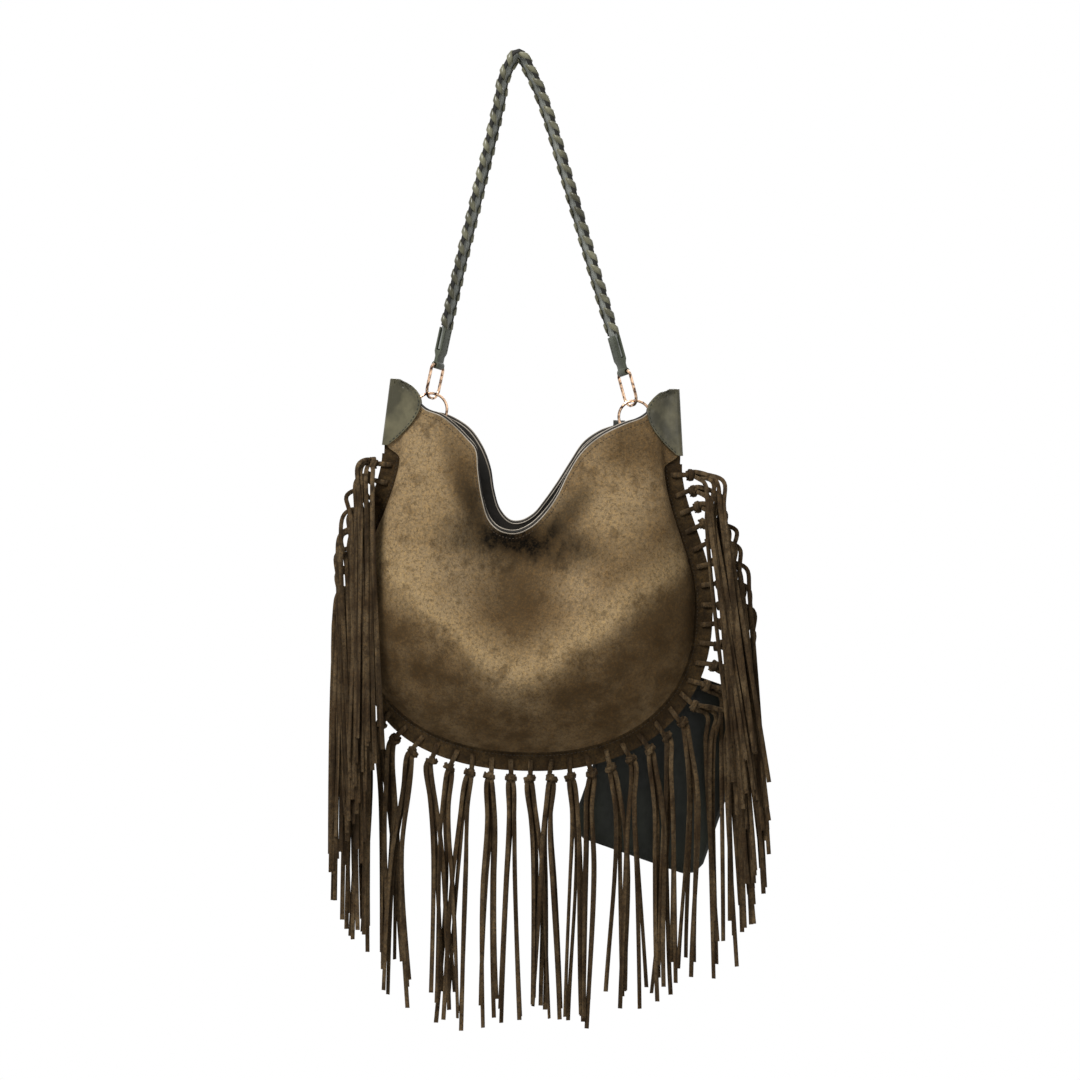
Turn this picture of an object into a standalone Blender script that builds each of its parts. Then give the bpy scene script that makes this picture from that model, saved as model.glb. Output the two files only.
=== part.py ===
"""Fringed suede hobo bag, hanging by its laced shoulder strap, with a flat zip pouch on a leash behind it.

Every size below is in millimetres. A place on the bag is written as (across, depth, drop): across is measured
from the middle of the bag, depth is minus in front, and drop is measured down from about the round rings' middle.
The function spot() turns it into metres, with the origin at the hook, just under the strap's top.
"""

import math
import random

import bmesh
import bpy
import numpy as np
from mathutils import Matrix, Vector
from mathutils.bvhtree import BVHTree

MM = 0.001
GAP = 0.3
HOOK_ACROSS = -28.3
HOOK_DROP = -351.5
# The bag was hung off centre, so it is rolled this much, and its plumb thongs lean by it in its frame.
PLUMB_LEAN = math.tan(math.radians(2.1))

# Suede shell
SUEDE = 1.4
FACING = 1.0
LINING = 0.8
FACING_GAP = 0.45
LINING_GAP = 0.55
SEAM_TOP_DROP = 36.0
SEAM_WIDE_DROP = 205.0
SEAM_HALF_WIDTH = 167.5
SEAM_NECK_HALF_WIDTH = 131.5
SEAM_DEPTH = 138.5
SEAM_ROUNDNESS = 2.25
SEAM_HALF_THICK = 2.2
FRONT_LIP = [(-141, -21), (-127, -15), (-117, -3), (-109, 5), (-93, 11), (-80, 20), (-66, 33), (-57, 43.5),
             (-54, 65), (-49, 91), (-41, 113), (-30, 123), (-14, 125.5), (2, 118), (17, 102), (27, 86), (37, 64),
             (50, 42), (68, 25.5), (92, 12.5), (109, 5), (117, -3), (127, -15), (141, -21)]
BACK_LIP = [(-141, -21), (-127, -15), (-117, -3), (-107, 5), (-85, 12), (-66, 23), (-52, 41), (-43, 62),
            (-38, 85.5), (-31, 104), (-20, 114.5), (-9, 114.6), (4, 107), (14, 94.5), (27, 75), (40, 53),
            (52, 34), (68, 21.5), (84, 15), (107, 5), (117, -3), (127, -15), (141, -21)]
MOUTH_GAP = 15.0
MOUTH_GAP_RUN = 30.0
FRONT_BULGE = 46.0
BACK_BULGE = 26.0
# Share of the full bulge from the lip (0) to the seam (1), down the middle and down the sides
FRONT_MIDDLE = [(0, 0), (0.12, -0.1), (0.34, 0.37), (0.56, 0.85), (0.68, 1.0), (0.8, 0.9), (0.92, 0.55), (1, 0)]
SIDE_PROFILE = [(0, 0), (0.25, 0.45), (0.5, 0.82), (0.7, 0.98), (0.85, 0.8), (0.94, 0.48), (1, 0)]
PANEL_COLUMNS = 24
PANEL_ROWS = [0, 0.06, 0.13, 0.27, 0.44, 0.6, 0.76, 0.9, 1.0]
FACING_ROWS = 3
LINING_END_ROW = 7
# How far the lining is cut back at its sides and top, as shares of the next column and row
LINING_TRIM = 0.02
LINING_TOP_TRIM = 0.12
CORNER_SHARE = 0.03

# Corner patches: the fold at the bag's side, and the stitched edge that faces the middle
FOLD_TOP = (144.0, -25.0)
FOLD_BOTTOM = (150.0, 41.5)
PATCH = 1.5
PATCH_OFF = 1.5
PATCH_EDGE = [(135, -24), (122, -18), (114, -8), (113, 3), (119, 16), (132, 31), (144, 41)]
PATCH_ROWS = 6
PATCH_COLUMNS = 3
PATCH_NOSE = 4.0

# Fringe: a flat band in the seam, and thongs that are looped over it, knotted and left to hang
BAND = 2.4
BAND_INSIDE = 4.0
BAND_SLOT = 8.0
BAND_WIDTH = 18.5
BAND_TOP_DROP = 50.0
TASSELS = 44
FIRST_LOOP = 12.0
THONG = 4.4
THONG_THICK = 1.5
LOOP_WIDTH = 5.0
LOOP_RAISE = 1.2
KNOT = (9.8, 9.2)
KNOT_STEPS = (2.6, 8.0)
HANG_BOTTOM = 240.0
HANG_SIDE = 285.0
HANG_UNEVEN = 13.0
HANG_BOW = 5.0
# At the sides the tails leave the knot sideways by the arch, turn down over the arm's drop and hang on
SIDE_COUNT = 15.0
SIDE_SHORTER = 35.0
ARCH_LEAST = 10.0
ARM_DROP = 6.0
HANG_DROP = 34.0
BACK_IN_LEFT = 9.0
ARCH_LEFT = -3.0
ARCH_RIGHT = 18.0
FLARE_RIGHT = 34.0
COLUMN = 5.6
SIDE_LAYER_FRONT = -34.0
SIDE_LAYER_STEP = 3.0
SIDE_LAYERS_FRONT = 9
SIDE_LAYER_BEHIND = 7.5
SIDE_LAST = 12
SIDE_SHARE_DOWN = 0.62

# Shoulder strap
STRAP_PATH = [(-91, -77), (-79, -140), (-66, -203), (-46, -303), (-41, -333), (-28.3, -353.5),
              (-14.5, -334), (-1, -305), (33, -206), (55, -140), (77, -75)]
STRAP_WIDTH = 14.5
STRAP = 3.2
STRAP_TURN = math.radians(26.0)
LACE_PITCH = 14.6
LACE_WIDTH = 9.0
LACE_REACH = 4.2
LACE_RAISE = 1.4
LACE_SLANT = 2.2
TAB_WIDTH = 14.5
TAB = 1.6
TAB_SLEEVE = 24.0
TAB_TOP_OVERLAP = 22.0

# Metal rings
WIRE = 3.0
RING_RADIUS = 16.0
RING_DROP = 4.0
RING_ACROSS = {"left": -103.0, "right": 101.0}
OVAL_WIRE = 3.2
OVAL_HALF_WIDTH = 12.4
OVAL_TOP_CORNER = 4.8
OVAL_BOTTOM_CORNER = 10.0
OVAL_TOP = {"left": (-97.5, -40.0), "right": (88.0, -40.0)}
OVAL_PLAY = 1.5

# Loops that hold the round rings in the mouth
LOOP_TAB_WIDTH = 9.0
LOOP_TAB = 2.0
LOOP_TAB_EYE = 2.4
LOOP_TAB_FOOT_DROP = 42.0

# Magnetic snap and pouch
SNAP_RADIUS = 7.0
SNAP = 2.4
SNAP_ACROSS = -12.0
SNAP_DROP = {"front": 138.0, "back": 130.0}
POUCH_MIDDLE = (145.0, 356.0)
POUCH_HALF = (69.5, 95.0)
POUCH_TURN = math.radians(17.2)
POUCH_THICK = 6.4
POUCH_WALL = 1.3
POUCH_CORNER = 16.0
LEASH_WIDTH = 12.0
LEASH = 1.6
LEASH_ACROSS = 86.0
ZIP_RISE = 3.2
ZIP_END_ROOM = 8.0
SLIDER_FROM_END = 12.0
SLIDER_WIDTH = 7.0
SLIDER_HALF_DEPTH = 2.4
PULL_LENGTH = 24.0
PULL = 1.3
# Where the leash turns about its anchor
LEASH_PIVOT = (86.0, 17.6, 11.6)


def spot(across, depth, drop):
    """A place on the bag as a point in metres, measured from the hook."""
    return Vector(((across - HOOK_ACROSS) * MM, depth * MM, (HOOK_DROP - drop) * MM))


def ease(t):
    """Smooth step from 0 to 1."""
    t = min(max(t, 0.0), 1.0)
    return t * t * (3.0 - 2.0 * t)


def through(points, steps=16):
    """Dense points on a smooth curve through the given ones (centripetal tangents from the neighbours)."""
    p = np.array(points, dtype=float)
    chord = np.linalg.norm(np.diff(p, axis=0), axis=1)
    knots = np.concatenate([[0.0], np.cumsum(np.sqrt(chord) * np.sqrt(chord.mean()))])
    slope = np.gradient(p, knots, axis=0)
    rows = []
    for i in range(len(p) - 1):
        span = knots[i + 1] - knots[i]
        for k in range(steps):
            t = k / steps
            a, b = 2 * t**3 - 3 * t**2 + 1, t**3 - 2 * t**2 + t
            c, d = -2 * t**3 + 3 * t**2, t**3 - t**2
            rows.append(a * p[i] + b * span * slope[i] + c * p[i + 1] + d * span * slope[i + 1])
    rows.append(p[-1])
    return np.array(rows)


def along(line, shares):
    """Points of a dense line at shares of its length."""
    far = np.concatenate([[0.0], np.cumsum(np.linalg.norm(np.diff(line, axis=0), axis=1))])
    return np.array([[np.interp(s * far[-1], far, line[:, k]) for k in range(line.shape[1])] for s in shares])


def fold_across(drop):
    """How far out the folded side of the bag's corner lies."""
    share = (drop - FOLD_TOP[1]) / (FOLD_BOTTOM[1] - FOLD_TOP[1])
    return FOLD_TOP[0] + share * (FOLD_BOTTOM[0] - FOLD_TOP[0])


def seam_across(drop):
    """Half width of the bag at the seam, above its widest place."""
    return SEAM_HALF_WIDTH - (SEAM_HALF_WIDTH - SEAM_NECK_HALF_WIDTH) * ease((190.0 - drop) / 140.0)


def half_seam(top, follow_fold):
    """The right half of the seam from its top to the lowest point, as (across, drop)."""
    rows = []
    for drop in np.linspace(top, SEAM_WIDE_DROP, 60)[:-1]:
        across = seam_across(drop)
        if follow_fold:
            share = ease((54.0 - drop) / 14.0)
            across += share * (fold_across(drop) - 3.5 - across)
        rows.append((across, drop))
    power = 2.0 / SEAM_ROUNDNESS
    for turn in np.linspace(0.0, math.pi / 2, 90):
        rows.append((SEAM_HALF_WIDTH * max(math.cos(turn), 0.0) ** power,
                     SEAM_WIDE_DROP + SEAM_DEPTH * math.sin(turn) ** power))
    return rows


def whole_seam(top, follow_fold):
    """The seam from the left top round the bottom to the right top."""
    right = half_seam(top, follow_fold)
    left = [(-x, d) for x, d in right]
    return np.array(left + right[::-1][1:])


def profile(points, t):
    """A smooth profile's value at t."""
    line = through(points)
    return float(np.interp(t, line[:, 0], line[:, 1]))


def panel_grid(lip_points, seam, side):
    """Rows of places on a panel's middle surface, from the lip to the seam. side is -1 in front, 1 behind."""
    columns = np.linspace(0.0, 1.0, PANEL_COLUMNS + 1)
    lip = along(through(lip_points), columns)
    seam_shares = np.linspace(CORNER_SHARE, 1.0 - CORNER_SHARE, PANEL_COLUMNS - 1)
    edge = along(seam, np.concatenate([[0.0], seam_shares, [1.0]]))
    grid = []
    for v in PANEL_ROWS:
        row = []
        for u, a, b in zip(columns, lip, edge):
            across, drop = a + (b - a) * v
            middle = max(0.0, 1.0 - abs(u - 0.5) / 0.22)
            arch = math.sin(math.pi * u) ** 1.2
            shape = profile(SIDE_PROFILE, v)
            if side < 0:
                shape += ease(middle) * (profile(FRONT_MIDDLE, v) - shape)
            bulge = FRONT_BULGE if side < 0 else BACK_BULGE
            to_fold = fold_across(min(drop, 60.0)) - 3.5 - abs(across)
            run = ease(to_fold / MOUTH_GAP_RUN) if drop < 60.0 else 1.0
            mouth = (MOUTH_GAP - SEAM_HALF_THICK) * run * (1.0 - v) ** 2
            depth = SEAM_HALF_THICK + mouth + bulge * arch * shape
            row.append((across, side * depth, drop))
        grid.append(row)
    return np.array(grid)


def grid_normals(grid):
    """Unit normals of a grid of places, all on the same side of it."""
    down, over = np.gradient(grid, axis=0), np.gradient(grid, axis=1)
    n = np.cross(over, down)
    return n / np.linalg.norm(n, axis=2, keepdims=True)


def new_object(name, mesh, body, look):
    """A named object of the bag, carried by the empty of its body."""
    obj = bpy.data.objects.new(name, mesh)
    PARTS.objects.link(obj)
    obj.parent = body
    obj.data.materials.append(material(name, *look))
    obj.data.shade_smooth()
    obj.data.set_sharp_from_angle(angle=math.radians(35))
    return obj


def material(name, colour, roughness, metallic=0.0):
    """One Principled material for one piece."""
    mat = bpy.data.materials.new(name)
    mat.use_nodes = True
    shader = mat.node_tree.nodes["Principled BSDF"]
    shader.inputs["Base Color"].default_value = (*colour, 1.0)
    shader.inputs["Roughness"].default_value = roughness
    shader.inputs["Metallic"].default_value = metallic
    return mat


def body_empty(name, place, parent=None):
    """The empty that carries a body's pieces, on the axis that the body turns about."""
    obj = bpy.data.objects.new(name, None)
    PARTS.objects.link(obj)
    obj.parent = parent
    obj.location = spot(*place) - (world(parent) if parent else Vector())
    return obj


def world(empty):
    """World place of an unturned empty."""
    place = Vector()
    while empty:
        place += empty.location
        empty = empty.parent
    return place


def mesh_from(bm, name, body):
    """A mesh from world-space bmesh, measured from its body's empty, with all faces pointing out."""
    bmesh.ops.recalc_face_normals(bm, faces=bm.faces)
    bmesh.ops.translate(bm, verts=bm.verts, vec=-world(body))
    mesh = bpy.data.meshes.new(name)
    bm.to_mesh(mesh)
    bm.free()
    return mesh


def sheet_mesh(grid, name, body):
    """An open mesh of quads over a grid of places."""
    bm = bmesh.new()
    verts = [[bm.verts.new(spot(*p)) for p in row] for row in grid]
    for above, below in zip(verts, verts[1:]):
        for k in range(len(above) - 1):
            bm.faces.new((above[k], above[k + 1], below[k + 1], below[k]))
    return mesh_from(bm, name, body)


def shell(name, grid, thickness, body, look):
    """A sheet of even thickness over a grid of places."""
    obj = new_object(name, sheet_mesh(grid, name, body), body, look)
    solid = obj.modifiers.new("Thickness", "SOLIDIFY")
    solid.thickness = thickness * MM
    solid.offset = 0.0
    return obj


def tree_of(obj):
    """A search tree over an object's evaluated mesh in world space."""
    shape = obj.evaluated_get(bpy.context.evaluated_depsgraph_get())
    mesh = shape.to_mesh()
    verts = [shape.matrix_world @ v.co for v in mesh.vertices]
    return BVHTree.FromPolygons(verts, [tuple(p.vertices) for p in mesh.polygons])


def face_depth(tree, across, drop, start, towards):
    """Depth in mm of the first face met from start, here or else a little nearer to the bag's middle."""
    for step in range(30):
        share = step * 0.006
        place = spot(across * (1.0 - share), start, drop + (170.0 - drop) * share)
        hit = tree.ray_cast(place, Vector((0.0, towards, 0.0)))[0]
        if hit is not None:
            return hit.y / MM
    return None


def loft(bm, rings):
    """Quads between rings of equal count, with end faces. Returns the faces of each stretch, side by side."""
    rows = [[bm.verts.new(p) for p in ring] for ring in rings]
    stretches = []
    for a, b in zip(rows, rows[1:]):
        count = len(a)
        stretches.append([bm.faces.new((a[k], a[(k + 1) % count], b[(k + 1) % count], b[k]))
                          for k in range(count)])
    bm.faces.new(rows[0][::-1])
    bm.faces.new(rows[-1])
    return stretches


def raise_faces(bm, faces, shift):
    """Pull some neighbouring faces out of a closed mesh, each new corner moved by shift(corner)."""
    done = bmesh.ops.extrude_face_region(bm, geom=faces)["geom"]
    bmesh.ops.delete(bm, geom=[f for f in faces if f.is_valid], context="FACES")
    for vert in done:
        if isinstance(vert, bmesh.types.BMVert):
            vert.co += shift(vert.co)
    return [f for f in done if isinstance(f, bmesh.types.BMFace)]


def pull(bm, face, place):
    """Extrude one face on its own, each new corner set to place(corner). Returns the new face."""
    new = bmesh.ops.extrude_discrete_faces(bm, faces=[face])["faces"][0]
    for vert in new.verts:
        vert.co = place(vert.co.copy())
    return new


def make_shell(bag):
    """Front and back suede, their smooth facings inside the mouth, and the lining below those."""
    seam = whole_seam(SEAM_TOP_DROP, True)
    panels = {}
    for word, lip, side in (("front", FRONT_LIP, -1), ("back", BACK_LIP, 1)):
        grid = panel_grid(lip, seam, side)
        inward = grid_normals(grid)
        inward *= np.sign(-side * inward[len(grid) // 2, PANEL_COLUMNS // 2, 1])
        suede = shell(f"{word}_panel", grid, SUEDE, bag, LOOKS["suede"])
        facing = grid[:FACING_ROWS] + inward[:FACING_ROWS] * (SUEDE / 2 + FACING / 2 + FACING_GAP)
        shell(f"facing_{word}", facing, FACING, bag, LOOKS["leather"])
        rows = slice(FACING_ROWS - 1, LINING_END_ROW + 1)
        sack = grid[rows] + inward[rows] * (SUEDE / 2 + LINING / 2 + LINING_GAP)
        sack[0] = sack[0] + (sack[1] - sack[0]) * LINING_TOP_TRIM
        first = sack[:, :1] * (1 - LINING_TRIM) + sack[:, 1:2] * LINING_TRIM
        last = sack[:, -1:] * (1 - LINING_TRIM) + sack[:, -2:-1] * LINING_TRIM
        sack = np.concatenate([first, sack[:, 1:-1], last], axis=1)
        shell(f"lining_{word}", sack, LINING, bag, LOOKS["lining"])
        panels[word] = suede
    return panels


def make_patches(bag, trees):
    """Smooth leather folded round the top of each side, over both panels."""
    for word, sign in (("left", -1), ("right", 1)):
        shares = np.linspace(0.0, 1.0, PATCH_ROWS + 1)
        edge = along(through(PATCH_EDGE), shares)
        rows = []
        for share, (inner_across, inner_drop) in zip(shares, edge):
            fold_drop = FOLD_TOP[1] + share * (FOLD_BOTTOM[1] - FOLD_TOP[1])
            fold = fold_across(fold_drop)
            front, back = [], []
            for k in range(PATCH_COLUMNS + 1):
                t = k / PATCH_COLUMNS
                across = sign * (inner_across + (fold - PATCH_NOSE - inner_across) * t)
                drop = inner_drop + (fold_drop - inner_drop) * t
                off = PATCH_OFF + PATCH / 2
                front.append((across, face_depth(trees["front"], across, drop, -90, 1) - off, drop))
                back.append((across, face_depth(trees["back"], across, drop, 90, -1) + off, drop))
            near, far = front[-1], back[-1]
            nose = [(sign * (fold - 1.1), near[1] * 0.62, fold_drop), (sign * fold, 0.0, fold_drop),
                    (sign * (fold - 1.1), far[1] * 0.62, fold_drop)]
            rows.append(front + nose + back[::-1])
        shell(f"corner_patch_{word}", np.array(rows), PATCH, bag, LOOKS["leather"])


def offset_line(line, out):
    """A flat line moved sideways by out, away from the bag."""
    step = np.gradient(line, axis=0)
    step /= np.linalg.norm(step, axis=1, keepdims=True)
    return line + np.column_stack([-step[:, 1], step[:, 0]]) * out


def make_fringe(bag):
    """The flat band in the seam, and every thong looped over it, knotted at its edge and hanging in tails."""
    rng = random.Random(7)
    seam = whole_seam(BAND_TOP_DROP, False)
    slots = offset_line(seam, BAND_SLOT)
    length = float(np.linalg.norm(np.diff(slots, axis=0), axis=1).sum())
    margin = FIRST_LOOP / length
    centres = np.linspace(margin, 1.0 - margin, TASSELS)
    half = LOOP_WIDTH / 2 / length
    stations = [0.0]
    for c in centres:
        stations += [c - half, c + half]
    stations.append(1.0)
    dense = np.linspace(0.0, 1.0, len(seam))
    far = np.concatenate([[0.0], np.cumsum(np.linalg.norm(np.diff(slots, axis=0), axis=1))]) / length
    lines = [offset_line(seam, out) for out in (-BAND_INSIDE, BAND_SLOT, BAND_WIDTH)]
    rings = []
    for share in stations:
        at = float(np.interp(share, far, dense))
        inner, slot, outer = (np.array([np.interp(at, dense, line[:, k]) for k in (0, 1)]) for line in lines)
        h = BAND / 2
        rings.append([spot(p[0], y, p[1]) for p, y in
                      ((inner, -h), (slot, -h), (outer, -h), (outer, h), (slot, h), (inner, h))])
    bm = bmesh.new()
    stretches = loft(bm, rings)
    bm.normal_update()
    loops = [stretches[2 * k + 1] for k in range(TASSELS)]
    for k, faces in enumerate(loops):
        rim = faces[2]
        corner = [v.co.copy() for v in rim.verts]
        middle = sum(corner, Vector()) / 4
        out = side_direction(corner)
        across = Vector((-out.z, 0.0, out.x))
        over = LOOP_RAISE * MM

        def lift(co):
            shift = Vector((0.0, math.copysign(over, co.y), 0.0))
            if (co - middle).dot(out) > -1.0 * MM:
                shift += out * over
            return shift

        raised = raise_faces(bm, [faces[1], faces[2], faces[3]], lift)
        edge = max(raised, key=lambda f: (f.calc_center_median() - middle).dot(out))
        from_top = min(k, TASSELS - 1 - k)
        on_side = -out.z < SIDE_SHARE_DOWN
        layer = side_layer(from_top) if on_side else None
        hang_tassel(bm, edge, middle, out, across, rng, layer, from_top)
    return new_object("fringe_band", mesh_from(bm, "fringe_band", bag), bag, LOOKS["suede_dark"])


def side_layer(from_top):
    """Depth of a side tassel: the upper ones hang in front of the knots below them, the lower ones behind."""
    if from_top < SIDE_LAYERS_FRONT:
        return SIDE_LAYER_FRONT + SIDE_LAYER_STEP * from_top
    return SIDE_LAYER_BEHIND + SIDE_LAYER_STEP * (SIDE_LAST - from_top)


def side_direction(corner):
    """The direction away from the band at an edge face, square to its long sides."""
    run = max((corner[k] - corner[k - 1] for k in range(4)), key=lambda e: math.hypot(e.x, e.z))
    out = Vector((run.z, 0.0, -run.x)).normalized()
    middle = sum(corner, Vector()) / 4
    inside = spot(0.0, 0.0, 190.0)
    return out if (middle - inside).dot(out) > 0 else -out


def hang_tassel(bm, face, middle, out, across, rng, layer, from_top):
    """One knot just outside the band's edge, and its four tails down to their cut ends."""
    rise, length = (step * MM for step in KNOT_STEPS)
    wide, deep = (size / 2 * MM for size in KNOT)
    skew = rng.uniform(-0.2, 0.2)

    def knot_ring(reach, grow):
        def place(co):
            a = math.copysign(wide * grow, (co - middle).dot(across))
            b = math.copysign(deep * grow, co.y)
            return middle + out * reach + across * (a - b * skew) + Vector((0.0, b, 0.0))
        return place

    top = pull(bm, face, knot_ring(LOOP_RAISE * MM + rise, 0.92))
    reach = LOOP_RAISE * MM + rise + length
    end = pull(bm, top, knot_ring(reach, 1.0))
    cut = bmesh.ops.subdivide_edges(bm, edges=list(end.edges), cuts=1, use_grid_fill=True)
    centre = middle + out * reach
    inner = [v for v in cut["geom_inner"] if isinstance(v, bmesh.types.BMVert)]
    hub = min(inner, key=lambda v: (v.co - centre).length)
    places = {f: f.calc_center_median() for f in hub.link_faces}
    cells = sorted(places, key=lambda f: ((places[f] - centre).dot(across), places[f].y))
    sway = rng.uniform(-3.0, 3.0)
    for column, cell in enumerate(cells):
        hang_thong(bm, cell, centre, out, across, rng, layer, from_top, column, sway)


def hang_thong(bm, cell, centre, out, across, rng, layer, from_top, column, sway):
    """One tail: from its quarter of the knot, over the arch at the sides, and down to its cut end."""
    root = cell.calc_center_median()
    over = math.copysign(1.0, (root - centre).dot(across))
    behind = math.copysign(1.0, root.y)
    down = Vector((0.0, 0.0, -1.0))
    if layer is None:
        length = (HANG_BOTTOM + rng.uniform(-HANG_UNEVEN, HANG_UNEVEN)) * MM
        drift = PLUMB_LEAN * length + (sway + over * rng.uniform(0.8, 5.0)) * MM
        end = root + down * length + Vector((drift, behind * rng.uniform(0.3, 2.5) * MM, 0.0))
        bow = rng.uniform(-1.0, 1.0) * MM
        bow += math.copysign(HANG_BOW * MM, out.x) * abs(out.x)
        places = [root.lerp(end, 0.4) + Vector((bow, 0, 0)), end]
        turn = rng.uniform(-0.35, 0.35)
    else:
        right = out.x > 0
        share = 1.0 - from_top / SIDE_COUNT
        length = (HANG_SIDE + rng.uniform(-HANG_UNEVEN, HANG_UNEVEN) - SIDE_SHORTER * (1 - share)) * MM
        arch = (ARCH_RIGHT if right else ARCH_LEFT) * MM
        offset = (column - 1.5) * COLUMN * MM
        slack = (FLARE_RIGHT * share if right else 0.0) * MM
        reach = math.copysign(max(arch, ARCH_LEAST * MM), out.x) + offset
        arm = Vector((centre.x + reach, root.y * 0.8 + layer * MM * 0.45, root.z - ARM_DROP * MM))
        hang = Vector((arm.x + (0.0 if right else BACK_IN_LEFT * MM), layer * MM, centre.z - HANG_DROP * MM))
        drift = PLUMB_LEAN * length + slack + (column - 1.5) * 0.9 * MM + sway * 0.15 * MM
        end = Vector((hang.x + drift, layer * MM, hang.z - length + HANG_DROP * MM))
        places = [arm, hang, end]
        turn = rng.uniform(-0.18, 0.18)
    face = cell
    corners = [(math.copysign(THONG / 2, (v.co - root).dot(across)),
                math.copysign(THONG_THICK / 2, v.co.y - root.y)) for v in cell.verts]
    before = root
    for step, place in enumerate(places):
        after = places[min(step + 1, len(places) - 1)]
        way = after - before
        way.y = 0.0
        way.normalize()
        wide = Vector((-way.z, 0.0, way.x))
        twist = turn * (step + 1) / len(places)
        a_axis = wide * math.cos(twist) + Vector((0, math.sin(twist), 0))
        b_axis = Vector((0, math.cos(twist), 0)) - wide * math.sin(twist)
        face = bmesh.ops.extrude_discrete_faces(bm, faces=[face])["faces"][0]
        for vert, (a, b) in zip(face.verts, corners):
            vert.co = place + a_axis * a * MM + b_axis * b * MM
        before = place


def strap_line():
    """The strap's middle line over the hook, as dense (across, drop)."""
    return through(STRAP_PATH, 24)


def strap_frame(line, share):
    """Middle place, and the directions of the run, near edge and top face, at a share of the strap."""
    place = along(line, [share])[0]
    ahead, back = along(line, [min(share + 0.004, 1.0)])[0], along(line, [max(share - 0.004, 0.0)])[0]
    run = (spot(ahead[0], 0, ahead[1]) - spot(back[0], 0, back[1])).normalized()
    away = Vector((-run.z, 0.0, run.x))
    near = Vector((0.0, -1.0, 0.0)) * math.cos(STRAP_TURN) + away * math.sin(STRAP_TURN)
    return spot(place[0], 0.0, place[1]), run, near, near.cross(run).normalized()


def make_strap(handle):
    """The flat strap, turned a little all along, with the wraps of flat lace that cover both its edges."""
    line = strap_line()
    length = float(np.linalg.norm(np.diff(line, axis=0), axis=1).sum())
    wraps = int((length - 6.0) / LACE_PITCH)
    pitch = 1.0 / wraps
    half_lace = LACE_WIDTH / 2 / length
    stations = [0.0]
    for k in range(wraps):
        middle = (k + 0.5) * pitch
        stations += [middle - half_lace, middle + half_lace]
    stations.append(1.0)
    across = [-STRAP_WIDTH / 2, -STRAP_WIDTH / 2 + LACE_REACH, STRAP_WIDTH / 2 - LACE_REACH, STRAP_WIDTH / 2]
    section = [(a, STRAP / 2) for a in across] + [(a, -STRAP / 2) for a in reversed(across)]
    rings = []
    for share in stations:
        place, _, near, top = strap_frame(line, share)
        rings.append([place + near * a * MM + top * b * MM for a, b in section])
    for word in ("left", "right"):
        place, away, near, top = tab_frame(line, word)
        tip, base = ([place + away * reach * MM + near * a * 0.82 * MM + top * b * MM for a, b in section]
                     for reach in (TAB_TOP_OVERLAP, 1.0))
        rings = [tip, base] + rings if word == "left" else rings + [base, tip]
    bm = bmesh.new()
    stretches = loft(bm, rings)
    bm.normal_update()
    for k in range(wraps):
        faces = stretches[2 + 2 * k + 1]
        place, run, near, top = strap_frame(line, (k + 0.5) * pitch)
        for sign, sides in ((1, (2, 3, 4)), (-1, (6, 7, 0))):

            def lift(co):
                local = co - place
                up = math.copysign(1.0, local.dot(top))
                shift = top * up * LACE_RAISE * MM + run * up * LACE_SLANT * MM
                if local.dot(near) * sign > (STRAP_WIDTH / 2 - 1.0) * MM:
                    shift += near * sign * LACE_RAISE * MM - run * up * LACE_SLANT * 0.4 * MM
                return shift

            raise_faces(bm, [faces[s] for s in sides], lift)
    new_object("handle_strap", mesh_from(bm, "handle_strap", handle), handle, LOOKS["leather"])


def tab_frame(line, word):
    """Where an end tab starts, the way to its ring, and its width's and top face's directions."""
    place, _, near, top = strap_frame(line, 0.0 if word == "left" else 1.0)
    away = (spot(OVAL_TOP[word][0], 0.0, OVAL_TOP[word][1]) - place).normalized()
    width = (near - away * near.dot(away)).normalized()
    side = width.cross(away).normalized()
    return place, away, width, side if side.dot(top) > 0 else -side


def extruded(name, outlines, thickness, frame, body, look):
    """A flat outline, holes in it too, extruded to both sides of its plane and placed by frame."""
    curve = bpy.data.curves.new(name, "CURVE")
    curve.dimensions = "2D"
    curve.fill_mode = "BOTH"
    curve.extrude = thickness / 2 * MM
    for outline in outlines:
        spline = curve.splines.new("POLY")
        spline.points.add(len(outline) - 1)
        for point, (x, y) in zip(spline.points, outline):
            point.co = (x * MM, y * MM, 0.0, 1.0)
        spline.use_cyclic_u = True
    flat = bpy.data.objects.new(name + "_outline", curve)
    PARTS.objects.link(flat)
    return solid_from_curve(name, flat, frame, body, look)


def solid_from_curve(name, curve_object, frame, body, look):
    """A curve's evaluated shape as a welded mesh, placed by frame in the world and carried by its body."""
    shape = curve_object.evaluated_get(bpy.context.evaluated_depsgraph_get())
    bm = bmesh.new()
    bm.from_mesh(bpy.data.meshes.new_from_object(shape))
    bmesh.ops.remove_doubles(bm, verts=bm.verts, dist=0.00001)
    bmesh.ops.transform(bm, matrix=frame, verts=bm.verts)
    bpy.data.objects.remove(curve_object)
    return new_object(name, mesh_from(bm, name, body), body, look)


def frame_of(place, x_axis, y_axis):
    """A frame at a place with the given directions as its x and y."""
    z_axis = x_axis.cross(y_axis).normalized()
    turn = Matrix((x_axis, y_axis, z_axis)).transposed().to_4x4()
    return Matrix.Translation(place) @ turn


def arc(middle, radius, first, last, count):
    """Points of an arc, angles in degrees."""
    return [(middle[0] + radius * math.cos(math.radians(t)), middle[1] + radius * math.sin(math.radians(t)))
            for t in np.linspace(first, last, count)]


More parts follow.
